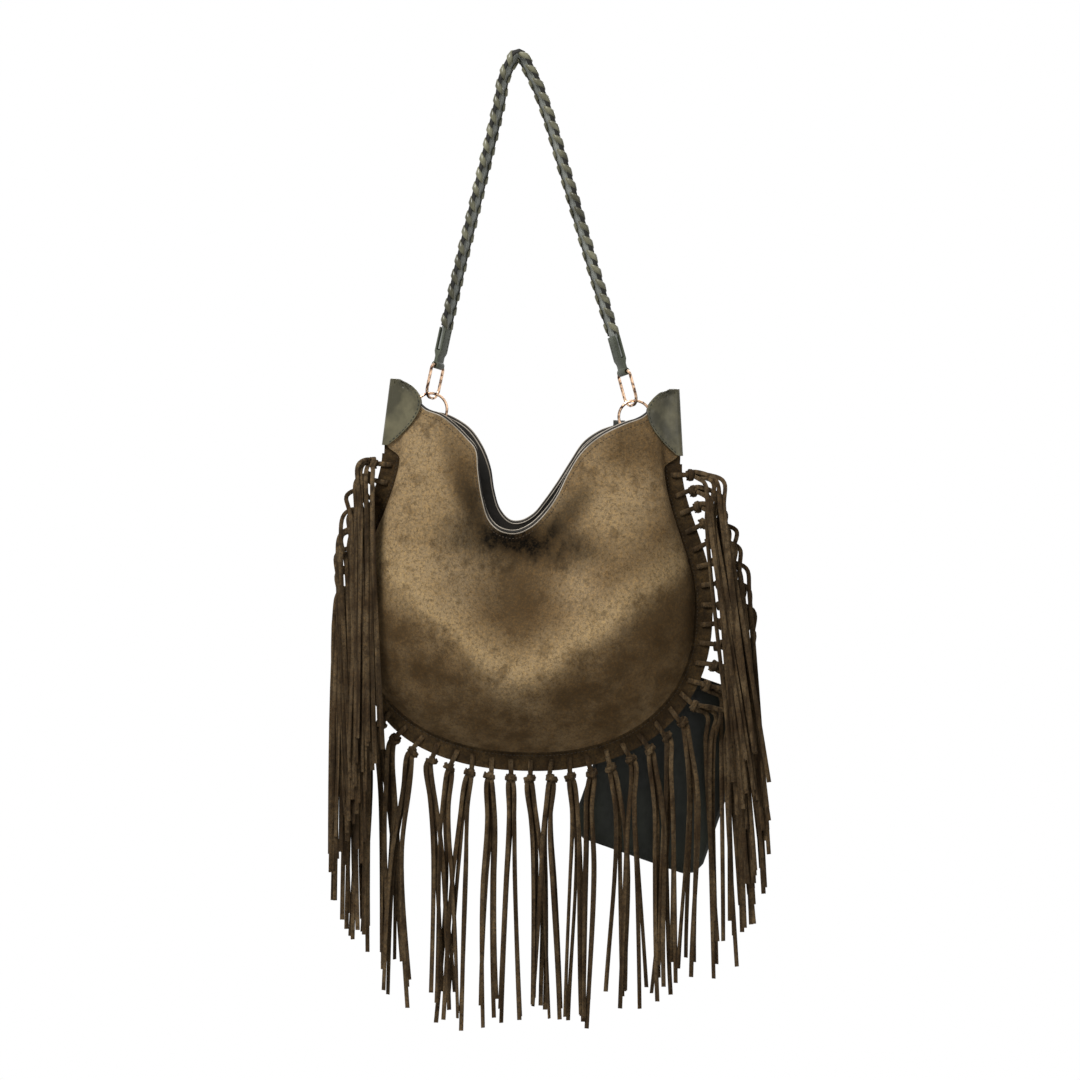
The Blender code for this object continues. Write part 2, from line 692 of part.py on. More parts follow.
def make_tab_and_oval(word, handle, oval_body):
    """A folded end tab over the strap's tongue, and the oval ring in its loop."""
    place, away, width, side = tab_frame(strap_line(), word)
    eye = spot(OVAL_TOP[word][0], 0.0, OVAL_TOP[word][1])
    reach = (eye - place).length / MM
    inner, outer = STRAP / 2 + GAP, STRAP / 2 + GAP + TAB
    loop = OVAL_WIRE / 2 + 0.5
    closed = TAB + 0.1
    eye_out = loop + TAB
    outline = [(inner, 0.5), (outer, 0.5), (outer, -TAB_SLEEVE), (closed, -TAB_SLEEVE - 4.5),
               (closed, -reach + eye_out)]
    outline += arc((0.0, -reach), eye_out, 40, -220, 12)
    outline += [(-closed, -reach + eye_out), (-closed, -TAB_SLEEVE - 4.5), (-outer, -TAB_SLEEVE),
                (-outer, 0.5), (-inner, 0.5), (-inner, -TAB_TOP_OVERLAP - 0.6), (inner, -TAB_TOP_OVERLAP - 0.6)]
    hole = arc((0.0, -reach), loop, 0, 324, 10)
    frame = frame_of(place, side, -away)
    extruded(f"end_tab_{word}", [outline, hole], TAB_WIDTH, frame, handle, LOOKS["leather"])
    depth = (RING_DROP - RING_RADIUS + (WIRE + OVAL_WIRE) / 2 + OVAL_PLAY - OVAL_TOP[word][1]) / abs(away.z)
    half, r, s = OVAL_HALF_WIDTH, OVAL_TOP_CORNER, OVAL_BOTTOM_CORNER
    ring = arc((half - r, -r), r, 90, 0, 4) + arc((half - s, -depth + s), s, 0, -90, 6)
    ring += arc((-half + s, -depth + s), s, -90, -180, 6) + arc((-half + r, -r), r, 180, 90, 4)
    curve = bpy.data.curves.new(f"oval_{word}", "CURVE")
    curve.dimensions = "3D"
    curve.bevel_depth = OVAL_WIRE / 2 * MM
    curve.bevel_resolution = 1
    spline = curve.splines.new("POLY")
    spline.points.add(len(ring) - 1)
    for point, (x, y) in zip(spline.points, ring):
        point.co = (x * MM, y * MM, 0.0, 1.0)
    spline.use_cyclic_u = True
    wire = bpy.data.objects.new(f"oval_{word}_path", curve)
    PARTS.objects.link(wire)
    solid_from_curve(f"oval_ring_{word}", wire, frame_of(eye, width, -away), oval_body, LOOKS["gold"])


def make_round_ring(word, body):
    """One round ring, hanging in the oval ring above it."""
    centre = spot(RING_ACROSS[word], 0.0, RING_DROP)
    bpy.ops.mesh.primitive_torus_add(major_radius=RING_RADIUS * MM, minor_radius=WIRE / 2 * MM,
                                     major_segments=20, minor_segments=6, rotation=(math.pi / 2, 0.0, 0.0),
                                     location=centre - world(body))
    ring = bpy.context.object
    ring.name = ring.data.name = f"round_ring_{word}"
    for collection in list(ring.users_collection):
        collection.objects.unlink(ring)
    PARTS.objects.link(ring)
    ring.parent = body
    ring.data.materials.append(material(ring.name, *LOOKS["gold"]))
    ring.data.shade_smooth()


def make_ring_loop(word, bag, trees):
    """The leather loop in the mouth that holds a round ring, its feet sewn to the two facings."""
    across = RING_ACROSS[word]
    low = RING_DROP + RING_RADIUS - 0.3
    foot = LOOP_TAB_FOOT_DROP
    half = LOOP_TAB_WIDTH / 2
    reach = {}
    for side, towards in (("front", -1), ("back", 1)):
        inner = [face_depth(trees[f"{piece}_{side}"], across + d, drop, 0, towards)
                 for piece in ("facing", "lining") for d in (-half, half) for drop in (foot - 4, foot)]
        reach[side] = min(abs(depth) for depth in inner if depth is not None) - GAP - 0.1
    front, back = reach["front"], reach["back"]
    outer = LOOP_TAB_EYE + LOOP_TAB
    outline = [(-front, -foot), (-front, -foot + 3.0)] + arc((0.0, -low), outer, 150, 30, 7)
    outline += [(back, -foot + 3.0), (back, -foot), (back - LOOP_TAB * 1.1, -foot)]
    outline += arc((0.0, -low), LOOP_TAB_EYE, 10, 170, 7) + [(-front + LOOP_TAB * 1.1, -foot)]
    frame = frame_of(spot(across, 0.0, 0.0), Vector((0, 1, 0)), Vector((0, 0, 1)))
    extruded(f"ring_loop_{word}", [outline], LOOP_TAB_WIDTH, frame, bag, LOOKS["leather"])


def make_snap(bag, trees):
    """The two halves of the magnetic snap, on the facings under the middle of the mouth."""
    across = SNAP_ACROSS
    for word, towards, drop in (("front", -1, SNAP_DROP["front"]), ("back", 1, SNAP_DROP["back"])):
        depths = [face_depth(trees[f"facing_{word}"], across + dx, drop + dd, 0, towards)
                  for dx in (-SNAP_RADIUS, 0, SNAP_RADIUS) for dd in (-SNAP_RADIUS, 0, SNAP_RADIUS)]
        near = min(abs(d) for d in depths)
        depth = towards * (near - GAP - SNAP / 2)
        bpy.ops.mesh.primitive_cylinder_add(vertices=20, radius=SNAP_RADIUS * MM, depth=SNAP * MM,
                                            rotation=(math.pi / 2, 0, 0),
                                            location=spot(across, depth, drop) - world(bag))
        disc = bpy.context.object
        disc.name = disc.data.name = f"snap_{word}"
        for collection in list(disc.users_collection):
            collection.objects.unlink(disc)
        PARTS.objects.link(disc)
        disc.parent = bag
        disc.data.materials.append(material(disc.name, *LOOKS["gold"]))


def strip(name, line, width, thick, body, look):
    """A flat strip along a line of (across, depth, drop) places, its width measured across."""
    points = [spot(*p) for p in line]
    rings = []
    for k, point in enumerate(points):
        way = points[min(k + 1, len(points) - 1)] - points[max(k - 1, 0)]
        way.x = 0.0
        way.normalize()
        normal = Vector((0.0, -way.z, way.y))
        half = Vector((width / 2 * MM, 0.0, 0.0))
        rise = normal * thick / 2 * MM
        rings.append([point - half - rise, point + half - rise, point + half + rise, point - half + rise])
    bm = bmesh.new()
    loft(bm, rings)
    return new_object(name, mesh_from(bm, name, body), body, look)


def make_pouch(bag, pouch, slider, trees):
    """The flat zip pouch behind the bag: leash, body open at the top, zip in the opening, and slider."""
    lip = LEASH_ACROSS
    lip_top = min(BACK_LIP[k][1] for k in range(len(BACK_LIP)) if 70 < BACK_LIP[k][0] < 100) - 5.0
    inside = face_depth(trees["facing_back"], lip, 30.0, 0, 1)
    outside = face_depth(trees["back"], lip, 22.0, 60, -1)
    out = LEASH / 2 + GAP + 0.3
    line = [(lip, inside - out - 0.5, 38.0), (lip, inside - out - 1.0, 16.0),
            (lip, inside - out - 0.4, lip_top + 1.0), (lip, (inside + outside) / 2, lip_top - 1.8),
            (lip, outside + out - 1.0, lip_top)]
    strip("leash_anchor", line, LEASH_WIDTH, LEASH, bag, LOOKS["leather_dark"])
    turn_u = Vector((math.cos(POUCH_TURN), 0.0, -math.sin(POUCH_TURN)))
    turn_v = Vector((math.sin(POUCH_TURN), 0.0, math.cos(POUCH_TURN)))
    depth_out = max(face_depth(trees["back"], x, d, 90, -1) or 0.0
                    for x in range(0, 161, 20) for d in range(220, 341, 20))
    leash_depth = depth_out + GAP + LEASH / 2 + 0.3
    pouch_depth = leash_depth + LEASH / 2 + GAP + 0.1 + POUCH_THICK / 2
    along_top = -math.tan(POUCH_TURN) * POUCH_HALF[1]
    hold = spot(POUCH_MIDDLE[0], leash_depth, POUCH_MIDDLE[1])
    hold += (turn_u * along_top + turn_v * POUCH_HALF[1]) * MM
    hold_drop = HOOK_DROP - hold.z / MM
    start_depth = outside + out + 0.6
    line = [(lip, start_depth, lip_top + 3.2)]
    for share in (0.16, 0.32, 0.5, 0.7, 1.0):
        drop = lip_top + 3.2 + (hold_drop + 24.0 - lip_top) * share
        across = lip + (POUCH_MIDDLE[0] - lip) * share
        near = max(face_depth(trees["back"], across + dx, drop + dd, 90, -1)
                   for dx in (-7, 7) for dd in (-18, 0, 18))
        depth = min(max(near + out + 0.8, start_depth), leash_depth) if share < 0.9 else leash_depth
        line.append((across, depth, drop))
    strip("pouch_leash", line, LEASH_WIDTH, LEASH, pouch, LOOKS["leather_dark"])
    middle = spot(POUCH_MIDDLE[0], pouch_depth, POUCH_MIDDLE[1])
    half_u, half_v = POUCH_HALF
    thick = POUCH_THICK / 2
    rows = [(-half_v, half_u - POUCH_CORNER, 0.55), (-half_v + 5.0, half_u - 5.0, 0.9),
            (-half_v + POUCH_CORNER, half_u, 1.0), (0.0, half_u, 1.0), (half_v, half_u, 1.0)]
    bm = bmesh.new()
    rings = []
    for v, wide, fat in rows:
        t = thick * fat
        loop = [(-wide, 0), (-wide + 4, -t), (-wide * 0.4, -t), (wide * 0.4, -t), (wide - 4, -t),
                (wide, 0), (wide - 4, t), (wide * 0.4, t), (-wide * 0.4, t), (-wide + 4, t)]
        rings.append([middle + turn_u * u * MM + Vector((0, y * MM, 0)) + turn_v * v * MM for u, y in loop])
    loft(bm, rings)
    bm.faces.ensure_lookup_table()
    bmesh.ops.delete(bm, geom=[bm.faces[-1]], context="FACES_ONLY")
    body = new_object("pouch_body", mesh_from(bm, "pouch_body", pouch), pouch, LOOKS["leather_dark"])
    wall = body.modifiers.new("Wall", "SOLIDIFY")
    wall.thickness = POUCH_WALL * MM
    wall.offset = -1.0
    zip_half = half_u - ZIP_END_ROOM
    tape = thick - POUCH_WALL - GAP - 0.1
    foot, top = half_v - ZIP_END_ROOM, half_v + ZIP_RISE
    outline = [(-tape, foot), (tape, foot), (tape, top), (-tape, top)]
    frame = frame_of(middle, Vector((0, 1, 0)), turn_v)
    extruded("pouch_zip", [outline], 2 * zip_half, frame, pouch, LOOKS["metal_dark"])
    pull_in = thick + GAP + 0.2
    cap = top + GAP
    low, high = cap - PULL_LENGTH, cap + 2 * PULL
    outline = [(-SLIDER_HALF_DEPTH, cap), (pull_in, cap), (pull_in, low), (pull_in + PULL, low),
               (pull_in + PULL, high), (-SLIDER_HALF_DEPTH, high)]
    frame = frame_of(middle - turn_u * (zip_half - SLIDER_FROM_END) * MM, Vector((0, 1, 0)), turn_v)
    extruded("zip_slider", [outline], SLIDER_WIDTH, frame, slider, LOOKS["gold"])


LOOKS = {
    "suede": ((0.165, 0.118, 0.062), 0.95),
    "suede_dark": ((0.075, 0.052, 0.03), 0.95),
    "leather": ((0.075, 0.08, 0.045), 0.42),
    "leather_dark": ((0.02, 0.026, 0.02), 0.4),
    "lining": ((0.12, 0.1, 0.07), 0.8),
    "gold": ((0.83, 0.62, 0.42), 0.2, 1.0),
    "metal_dark": ((0.1, 0.09, 0.08), 0.4, 1.0),
}

for old in list(bpy.data.objects):
    bpy.data.objects.remove(old)
PARTS = bpy.data.collections.new("fringed_suede_bag")
bpy.context.scene.collection.children.link(PARTS)

handle_body = body_empty("handle_pivot", (HOOK_ACROSS, 0.0, HOOK_DROP))
oval_bodies = {w: body_empty(f"oval_{w}_pivot", (OVAL_TOP[w][0], 0.0, OVAL_TOP[w][1]), handle_body)
               for w in OVAL_TOP}
ring_body = {w: body_empty(f"ring_{w}_pivot", (RING_ACROSS[w], 0.0, RING_DROP - RING_RADIUS), handle_body)
             for w in RING_ACROSS}
bag_body = body_empty("bag_pivot", (RING_ACROSS["left"], 0.0, RING_DROP + RING_RADIUS), ring_body["left"])
pouch_body = body_empty("pouch_pivot", LEASH_PIVOT, bag_body)
slider_body = body_empty("slider_pivot", (POUCH_MIDDLE[0], 36.0, POUCH_MIDDLE[1]), pouch_body)

bpy.context.view_layer.update()
make_strap(handle_body)
for word in ("left", "right"):
    make_tab_and_oval(word, handle_body, oval_bodies[word])
    make_round_ring(word, ring_body[word])
panels = make_shell(bag_body)
bpy.context.view_layer.update()
search = {"front": tree_of(panels["front"]), "back": tree_of(panels["back"])}
search.update({name: tree_of(bpy.data.objects[name])
               for name in ("facing_front", "facing_back", "lining_front", "lining_back")})
make_patches(bag_body, search)
make_fringe(bag_body)
for word in ("left", "right"):
    make_ring_loop(word, bag_body, search)
make_snap(bag_body, search)
make_pouch(bag_body, pouch_body, slider_body, search)
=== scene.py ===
# %% [markdown]
# # A fringed suede shoulder bag
# The object is a soft hobo bag: two suede panels sewn to a flat band, a thong looped and knotted round
# every stretch of that band, a strap with laced edges, and metal rings between the two. This file dresses
# a finished CAD model of it. The CAD model says where everything is, and each cell below makes one piece
# finer, or gives it its finish.

# %% Load the CAD model
import math
import random

import bmesh
import bpy
import numpy as np
from mathutils import Matrix, Vector, noise
from mathutils.bvhtree import BVHTree


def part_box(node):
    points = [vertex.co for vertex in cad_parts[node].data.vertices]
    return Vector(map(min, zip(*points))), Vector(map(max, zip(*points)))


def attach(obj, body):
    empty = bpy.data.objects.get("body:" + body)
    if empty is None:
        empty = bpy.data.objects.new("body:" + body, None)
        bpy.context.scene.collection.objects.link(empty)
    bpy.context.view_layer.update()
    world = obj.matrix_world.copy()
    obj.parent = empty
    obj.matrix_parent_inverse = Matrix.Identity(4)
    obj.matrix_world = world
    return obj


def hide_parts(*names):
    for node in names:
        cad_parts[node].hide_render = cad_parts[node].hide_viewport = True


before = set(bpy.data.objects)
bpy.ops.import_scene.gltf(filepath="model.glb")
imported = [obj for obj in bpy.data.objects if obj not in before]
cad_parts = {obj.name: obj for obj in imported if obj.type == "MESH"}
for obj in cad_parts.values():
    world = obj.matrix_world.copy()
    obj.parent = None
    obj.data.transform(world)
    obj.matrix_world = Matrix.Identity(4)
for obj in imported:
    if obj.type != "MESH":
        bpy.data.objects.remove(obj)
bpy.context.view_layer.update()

# %% [markdown]
# Places on the bag are easier to read in the maker's own measures: millimetres across from the middle,
# depth with minus in front, and drop below the rings. One function turns them into metres from the hook
# that holds the strap.

# %% Measures of the bag
MM = 0.001
HOOK_ACROSS, HOOK_DROP = -28.3, -351.5
PLUMB_LEAN = math.tan(math.radians(2.1))


def spot(across, depth, drop):
    """A place on the bag as a point in metres."""
    return Vector(((across - HOOK_ACROSS) * MM, depth * MM, (HOOK_DROP - drop) * MM))


def ease(t):
    """Smooth step from 0 to 1."""
    t = min(max(t, 0.0), 1.0)
    return t * t * (3.0 - 2.0 * t)


# The belly hangs in a fold like a wide V: its lowest place, and how steep and how round it is
FOLD_MIDDLE, FOLD_LOW, FOLD_SLOPE, FOLD_ROUND = -4.0, 268.0, 0.88, 26.0


def below_fold(across, drop):
    """How far a place on the panel lies below the belly's fold, in millimetres."""
    return drop - FOLD_LOW + FOLD_SLOPE * (math.hypot(across - FOLD_MIDDLE, FOLD_ROUND) - FOLD_ROUND)


def linked(name, data):
    """A new object in the scene."""
    obj = bpy.data.objects.new(name, data)
    bpy.context.scene.collection.objects.link(obj)
    return obj


def through(points, steps=16):
    """Dense points on a smooth curve through the given ones."""
    p = np.array(points, dtype=float)
    chord = np.linalg.norm(np.diff(p, axis=0), axis=1)
    knots = np.concatenate([[0.0], np.cumsum(np.sqrt(chord) * np.sqrt(chord.mean()))])
    slope = np.gradient(p, knots, axis=0)
    rows = []
    for i in range(len(p) - 1):
        span = knots[i + 1] - knots[i]
        for k in range(steps):
            t = k / steps
            a, b = 2 * t**3 - 3 * t**2 + 1, t**3 - 2 * t**2 + t
            c, d = -2 * t**3 + 3 * t**2, t**3 - t**2
            rows.append(a * p[i] + b * span * slope[i] + c * p[i + 1] + d * span * slope[i + 1])
    rows.append(p[-1])
    return np.array(rows)


def along(line, shares):
    """Points of a dense line at shares of its length."""
    far = np.concatenate([[0.0], np.cumsum(np.linalg.norm(np.diff(line, axis=0), axis=1))])
    columns = range(line.shape[1])
    return np.array([[np.interp(s * far[-1], far, line[:, k]) for k in columns] for s in shares])


# %% [markdown]
# The camera comes first, because it shows at once whether the size and the place of everything are right.
# The bag in the picture hangs 2 degrees out of plumb, so the camera is rolled by that, and the bag's own
# sides stay upright.

# %% Camera
CAMERA_AIM = Vector((0.0391, 0.0, -0.4822))
CAMERA_DISTANCE = 3.0
to_right, to_top = Vector((0.99933, 0.0, 0.03664)), Vector((-0.03664, 0.0, 0.99933))
to_viewer = to_right.cross(to_top)
lens = bpy.data.cameras.new("camera")
lens.lens = 100.0
camera = linked("camera", lens)
turn = Matrix((to_right, to_top, to_viewer)).transposed().to_4x4()
camera.matrix_world = Matrix.Translation(CAMERA_AIM + to_viewer * CAMERA_DISTANCE) @ turn
bpy.context.scene.camera = camera
print("view is", round(CAMERA_DISTANCE * 36.0 / lens.lens, 3), "m wide at the bag")

# %% [markdown]
# A product photograph like this has one strong soft lamp high on the left, a weak one on the right that
# opens the shadows, one behind for the edges, and a little light from all round. Area lamps do that. The
# white behind the bag is only what the camera and reflections see, so it adds hardly any light.


# %% Helpers for nodes and colours
def add(tree, kind, inputs=(), **settings):
    """Adds one node with its properties. An input is a plain value, or the socket it comes from."""
    node = tree.nodes.new(kind)
    for key, value in settings.items():
        setattr(node, key, value)
    for name, value in dict(inputs).items():
        if isinstance(value, bpy.types.NodeSocket):
            tree.links.new(value, node.inputs[name])
        else:
            node.inputs[name].default_value = value
    return node


def result(tree, kind, inputs=(), **settings):
    """Adds one node and gives its first output."""
    return add(tree, kind, inputs, **settings).outputs[0]


def maths(tree, operation, *inputs):
    """One Math node on numbers and sockets."""
    return result(tree, "ShaderNodeMath", enumerate(inputs), operation=operation)


def linear(code):
    """An sRGB hex colour as linear RGBA."""
    parts = [int(code[k:k + 2], 16) / 255 for k in (1, 3, 5)]
    return tuple(p / 12.92 if p <= 0.04045 else ((p + 0.055) / 1.055) ** 2.4 for p in parts) + (1.0,)


# %% Light, backdrop and floor
def lamp(name, place, aim, size, power):
    """A square area lamp that looks at a point."""
    data = bpy.data.lights.new(name, "AREA")
    data.size = size
    data.energy = power
    obj = linked(name, data)
    obj.location = place
    obj.rotation_euler = (Vector(aim) - Vector(place)).to_track_quat("-Z", "Y").to_euler()


bpy.context.scene.view_settings.view_transform = "Standard"
world = bpy.data.worlds.new("studio")
bpy.context.scene.world = world
world.use_nodes = True
sky = world.node_tree
sky.nodes.clear()
path = add(sky, "ShaderNodeLightPath").outputs
seen = maths(sky, "MAXIMUM", path["Is Camera Ray"], path["Is Glossy Ray"])
seen = maths(sky, "MAXIMUM", seen, path["Is Transmission Ray"])
soft, white = (result(sky, "ShaderNodeBackground", {"Color": (1.0, 1.0, 1.0, 1.0), "Strength": strength})
               for strength in (0.2, 1.0))
mixed = result(sky, "ShaderNodeMixShader", {0: seen, 1: soft, 2: white})
add(sky, "ShaderNodeOutputWorld", {"Surface": mixed})

lamp("key", (-1.1, -1.55, 1.55), (0.03, 0.0, -0.55), 0.9, 74.0)
lamp("fill", (1.9, -2.2, 0.2), (0.03, 0.0, -0.5), 1.4, 11.0)
lamp("back", (0.4, 2.2, 1.2), (0.03, 0.0, -0.5), 1.6, 44.0)

FLOOR_PLACE, FLOOR_RADIUS = (0.04, 0.0, -1.45), 2.1
bpy.ops.mesh.primitive_circle_add(vertices=96, radius=FLOOR_RADIUS, fill_type="NGON", location=FLOOR_PLACE)
floor = bpy.context.object
floor.name = "floor"
paper = bpy.data.materials.new("pale studio paper")
paper.use_nodes = True
paper_shader = paper.node_tree.nodes["Principled BSDF"]
paper_shader.inputs["Base Color"].default_value = linear("#ececea")
paper_shader.inputs["Roughness"].default_value = 0.9
floor.data.materials.append(paper)

# %% [markdown]
# ## Finishes
# Suede is the flesh side of a hide, raised to a short nap. Where the nap lies one way it looks light, and
# where a hand has brushed it back it looks dark, so the colour comes in broad soft patches with small
# marks in them. On the front panel light and shade are also painted into the colour: a painted highlight
# along the belly's fold and on its two upper sides, painted shade in patches below the mouth, beside the
# lip and below the fold, and a near-black painted shadow under the lip. The fibres catch light at the
# edge of each form, which is what the sheen is for. All scales are worked out in millimetres, and a
# Noise Texture of scale 1000 / size gives patches of about that size.


# %% Start of every material
def new_material(name, roughness, metallic=0.0):
    """A material with its shader and its object coordinates."""
    mat = bpy.data.materials.new(name)
    mat.use_nodes = True
    tree = mat.node_tree
    shader = tree.nodes["Principled BSDF"]
    shader.inputs["Roughness"].default_value = roughness
    shader.inputs["Metallic"].default_value = metallic
    return mat, tree, shader, add(tree, "ShaderNodeTexCoord").outputs["Object"]


def patches(tree, coords, size_mm, detail=3.0, rough=0.55, stretch=(1.0, 1.0, 1.0), warp=0.0):
    """Noise whose patches are about size_mm across."""
    place = result(tree, "ShaderNodeMapping", {"Vector": coords, "Scale": stretch})
    return result(tree, "ShaderNodeTexNoise", {"Vector": place, "Scale": 1000.0 / size_mm, "Detail": detail,
                                               "Roughness": rough, "Distortion": warp})


def spread(tree, source, low, high, to_low=0.0, to_high=1.0):
    """Stretches low..high of a value to to_low..to_high."""
    return result(tree, "ShaderNodeMapRange", {"Value": source, "From Min": low, "From Max": high,
                                               "To Min": to_low, "To Max": to_high})


def blend(tree, share, first, second, way="MIX"):
    """Mixes two colours, each a hex code or a socket, by a value or a plain number."""
    first, second = (linear(colour) if isinstance(colour, str) else colour for colour in (first, second))
    inputs = {0: share, 6: first, 7: second}
    return add(tree, "ShaderNodeMix", inputs, data_type="RGBA", blend_type=way).outputs[2]


def relief(tree, shader, height, depth_mm, strength=1.0, under=None):
    """Bump of a real depth."""
    inputs = {"Distance": depth_mm * MM, "Strength": strength, "Height": height}
    if under is not None:
        inputs["Normal"] = under
    bump = result(tree, "ShaderNodeBump", inputs)
    tree.links.new(bump, shader.inputs["Normal"])
    return bump


# %% Suede of the panels and of the thongs
# Painted highlight, painted shade, and the near-black painted shadow under and beside the lip
PAINTED_HIGHLIGHT, PAINTED_SHADE, PAINTED_LIP_SHADOW = "#a8916d", "#3f301d", "#0a0805"


def zone(tree, coords, uneven, across, drop, wide, tall, slant, most):
    """A share, most in an ellipse's middle on the panel and 0 at its ragged rim. Sizes in millimetres."""
    middle, scale = tuple(spot(across, 0.0, drop)), (1.0 / (wide * MM), 0.0, 1.0 / (tall * MM))
    off = result(tree, "ShaderNodeVectorMath", {0: coords, 1: middle}, operation="SUBTRACT")
    turned = result(tree, "ShaderNodeVectorRotate", {"Vector": off, "Angle": math.radians(slant)},
                    rotation_type="Y_AXIS")
    scaled = result(tree, "ShaderNodeVectorMath", {0: turned, 1: scale}, operation="MULTIPLY")
    far = add(tree, "ShaderNodeVectorMath", {0: scaled}, operation="LENGTH").outputs["Value"]
    return spread(tree, maths(tree, "ADD", far, uneven), 0.3, 1.15, most, 0.0)


def below_fold_nodes(tree, coords):
    """The same distance below the belly's fold as below_fold, for a material."""
    parts = add(tree, "ShaderNodeSeparateXYZ", {0: coords}).outputs
    across = maths(tree, "MULTIPLY_ADD", parts[0], 1.0 / MM, HOOK_ACROSS - FOLD_MIDDLE)
    bent = result(tree, "ShaderNodeCombineXYZ", {"X": across, "Y": FOLD_ROUND})
    arm = add(tree, "ShaderNodeVectorMath", {0: bent}, operation="LENGTH").outputs["Value"]
    rise = maths(tree, "MULTIPLY_ADD", arm, FOLD_SLOPE, HOOK_DROP - FOLD_LOW - FOLD_SLOPE * FOLD_ROUND)
    return maths(tree, "MULTIPLY_ADD", parts[2], -1.0 / MM, rise)


def paint_belly_light_and_shade(tree, coords, uneven, tone):
    """Painted highlight along the fold's crest, and mottled painted shade below it."""
    below = maths(tree, "MULTIPLY_ADD", uneven, 30.0, below_fold_nodes(tree, coords))
    # Painted highlight along the crest of the fold
    crest = maths(tree, "MULTIPLY", spread(tree, below, -46.0, -8.0, 0.0, 0.7),
                  spread(tree, below, -4.0, 24.0, 1.0, 0.0))
    tone = blend(tree, crest, tone, PAINTED_HIGHLIGHT)
    mottle = patches(tree, coords, 34.0, 6.0, 0.68, (1.0, 1.0, 1.3))
    # Painted shade below the fold, broken up by noise
    dark = maths(tree, "MULTIPLY", spread(tree, below, -10.0, 44.0),
                 spread(tree, mottle, 0.4, 0.6, 0.95, 0.6))
    return blend(tree, dark, tone, PAINTED_SHADE)


def napped_suede(name, brushed_up, brushed_back, worn, patch_mm, sheen, streak_mm=0.0, zones=()):
    """Cow suede: two tones of nap in broad patches, hand marks, long streaks in thongs, fibre grain, and
    painted light and shade where zones are given.
    """
    mat, tree, shader, coords = new_material(name, 0.94)
    broad = spread(tree, patches(tree, coords, patch_mm, 2.0, 0.5), 0.36, 0.64)
    tone = blend(tree, broad, brushed_back, brushed_up)
    marks = patches(tree, coords, patch_mm * 0.3, 7.0, 0.7, (1.0, 1.0, 0.8))
    uneven = spread(tree, marks, 0.3, 0.7, -0.3, 0.3)
    # Painted highlights and shade, zone by zone, then along the belly's fold
    for colour, *place in zones:
        tone = blend(tree, zone(tree, coords, uneven, *place), tone, colour)
    if zones:
        tone = paint_belly_light_and_shade(tree, coords, uneven, tone)
    tone = blend(tree, spread(tree, marks, 0.5, 0.63, 0.0, 0.52), tone, worn)
    if streak_mm:
        streaks = patches(tree, coords, streak_mm, 2.0, 0.5, (1.0, 1.0, 0.03))
        tone = blend(tree, spread(tree, streaks, 0.42, 0.62, 0.0, 0.75), tone, worn)
    # Real fibres are about 0.1 mm, too fine to show, so the grain is drawn at 2.4 mm
    grain = patches(tree, coords, 2.4, 4.0, 0.85)
    tone = blend(tree, spread(tree, grain, 0.47, 0.6, 0.0, 0.75), tone, "#f0e0c4", "SOFT_LIGHT")
    fleck = patches(tree, coords, 3.2, 5.0, 0.9)
    tone = blend(tree, spread(tree, fleck, 0.48, 0.62, 0.0, 0.7), tone, worn)
    tree.links.new(tone, shader.inputs["Base Color"])
    nap = relief(tree, shader, grain, 0.3, 0.6)
    relief(tree, shader, marks, 0.8, 0.4, nap)
    shader.inputs["Specular IOR Level"].default_value = 0.1
    shader.inputs["Sheen Weight"].default_value = sheen
    shader.inputs["Sheen Roughness"].default_value = 0.42
    shader.inputs["Sheen Tint"].default_value = linear("#a08a6a")
    return mat


# Painted highlights and shade: (tone, across, drop, half width, half height, slant in degrees, strongest
# share)
PAINTED_LIGHT_AND_SHADE = [
    (PAINTED_HIGHLIGHT, -110.0, 110.0, 40.0, 120.0, -8.0, 0.4), (PAINTED_HIGHLIGHT, 88.0, 100.0, 40.0, 62.0, 16.0, 0.4),
    (PAINTED_SHADE, -66.0, 80.0, 17.0, 60.0, 20.0, 0.7), (PAINTED_SHADE, -10.0, 184.0, 46.0, 66.0, 0.0, 0.85),
    (PAINTED_SHADE, 132.0, 164.0, 46.0, 84.0, 0.0, 0.6), (PAINTED_SHADE, 112.0, 38.0, 50.0, 26.0, 0.0, 0.4),
    (PAINTED_LIP_SHADOW, -6.0, 133.0, 84.0, 27.0, -4.0, 1.0), (PAINTED_LIP_SHADOW, -53.0, 106.0, 14.0, 46.0, 20.0, 0.7),
    (PAINTED_LIP_SHADOW, 36.0, 108.0, 16.0, 46.0, -36.0, 0.65)]
# The front panel's suede, with painted highlights, painted shade and the painted shadow under the lip
PANEL_SUEDE = napped_suede("olive brown cow suede, with painted light and shade", "#927e61", "#766247", "#473824", 60.0,
                           0.12, 0.0, PAINTED_LIGHT_AND_SHADE)
BACK_SUEDE = napped_suede("olive brown cow suede of the back", "#8a765a", "#645239", "#3f3220", 60.0, 0.12)
THONG_SUEDE = napped_suede("brown split suede, cut in thongs", "#63543f", "#483a29", "#241b12", 26.0,
                           0.1, 5.5)
# The band is darker than the panels: partly its own darker suede, partly painted shade, as it hangs in the
# belly's shadow
BAND_SUEDE = napped_suede("olive brown suede band", "#493b27", "#33281a", "#20180f", 22.0, 0.1)

# %% [markdown]
# The patches, tabs, laces and loops are smooth hide, dyed olive green and finished with a thin clear
# coat. It shows one broad soft highlight, fine pores, and a slightly cloudy dye. The cut edges are
# painted a paler grey.


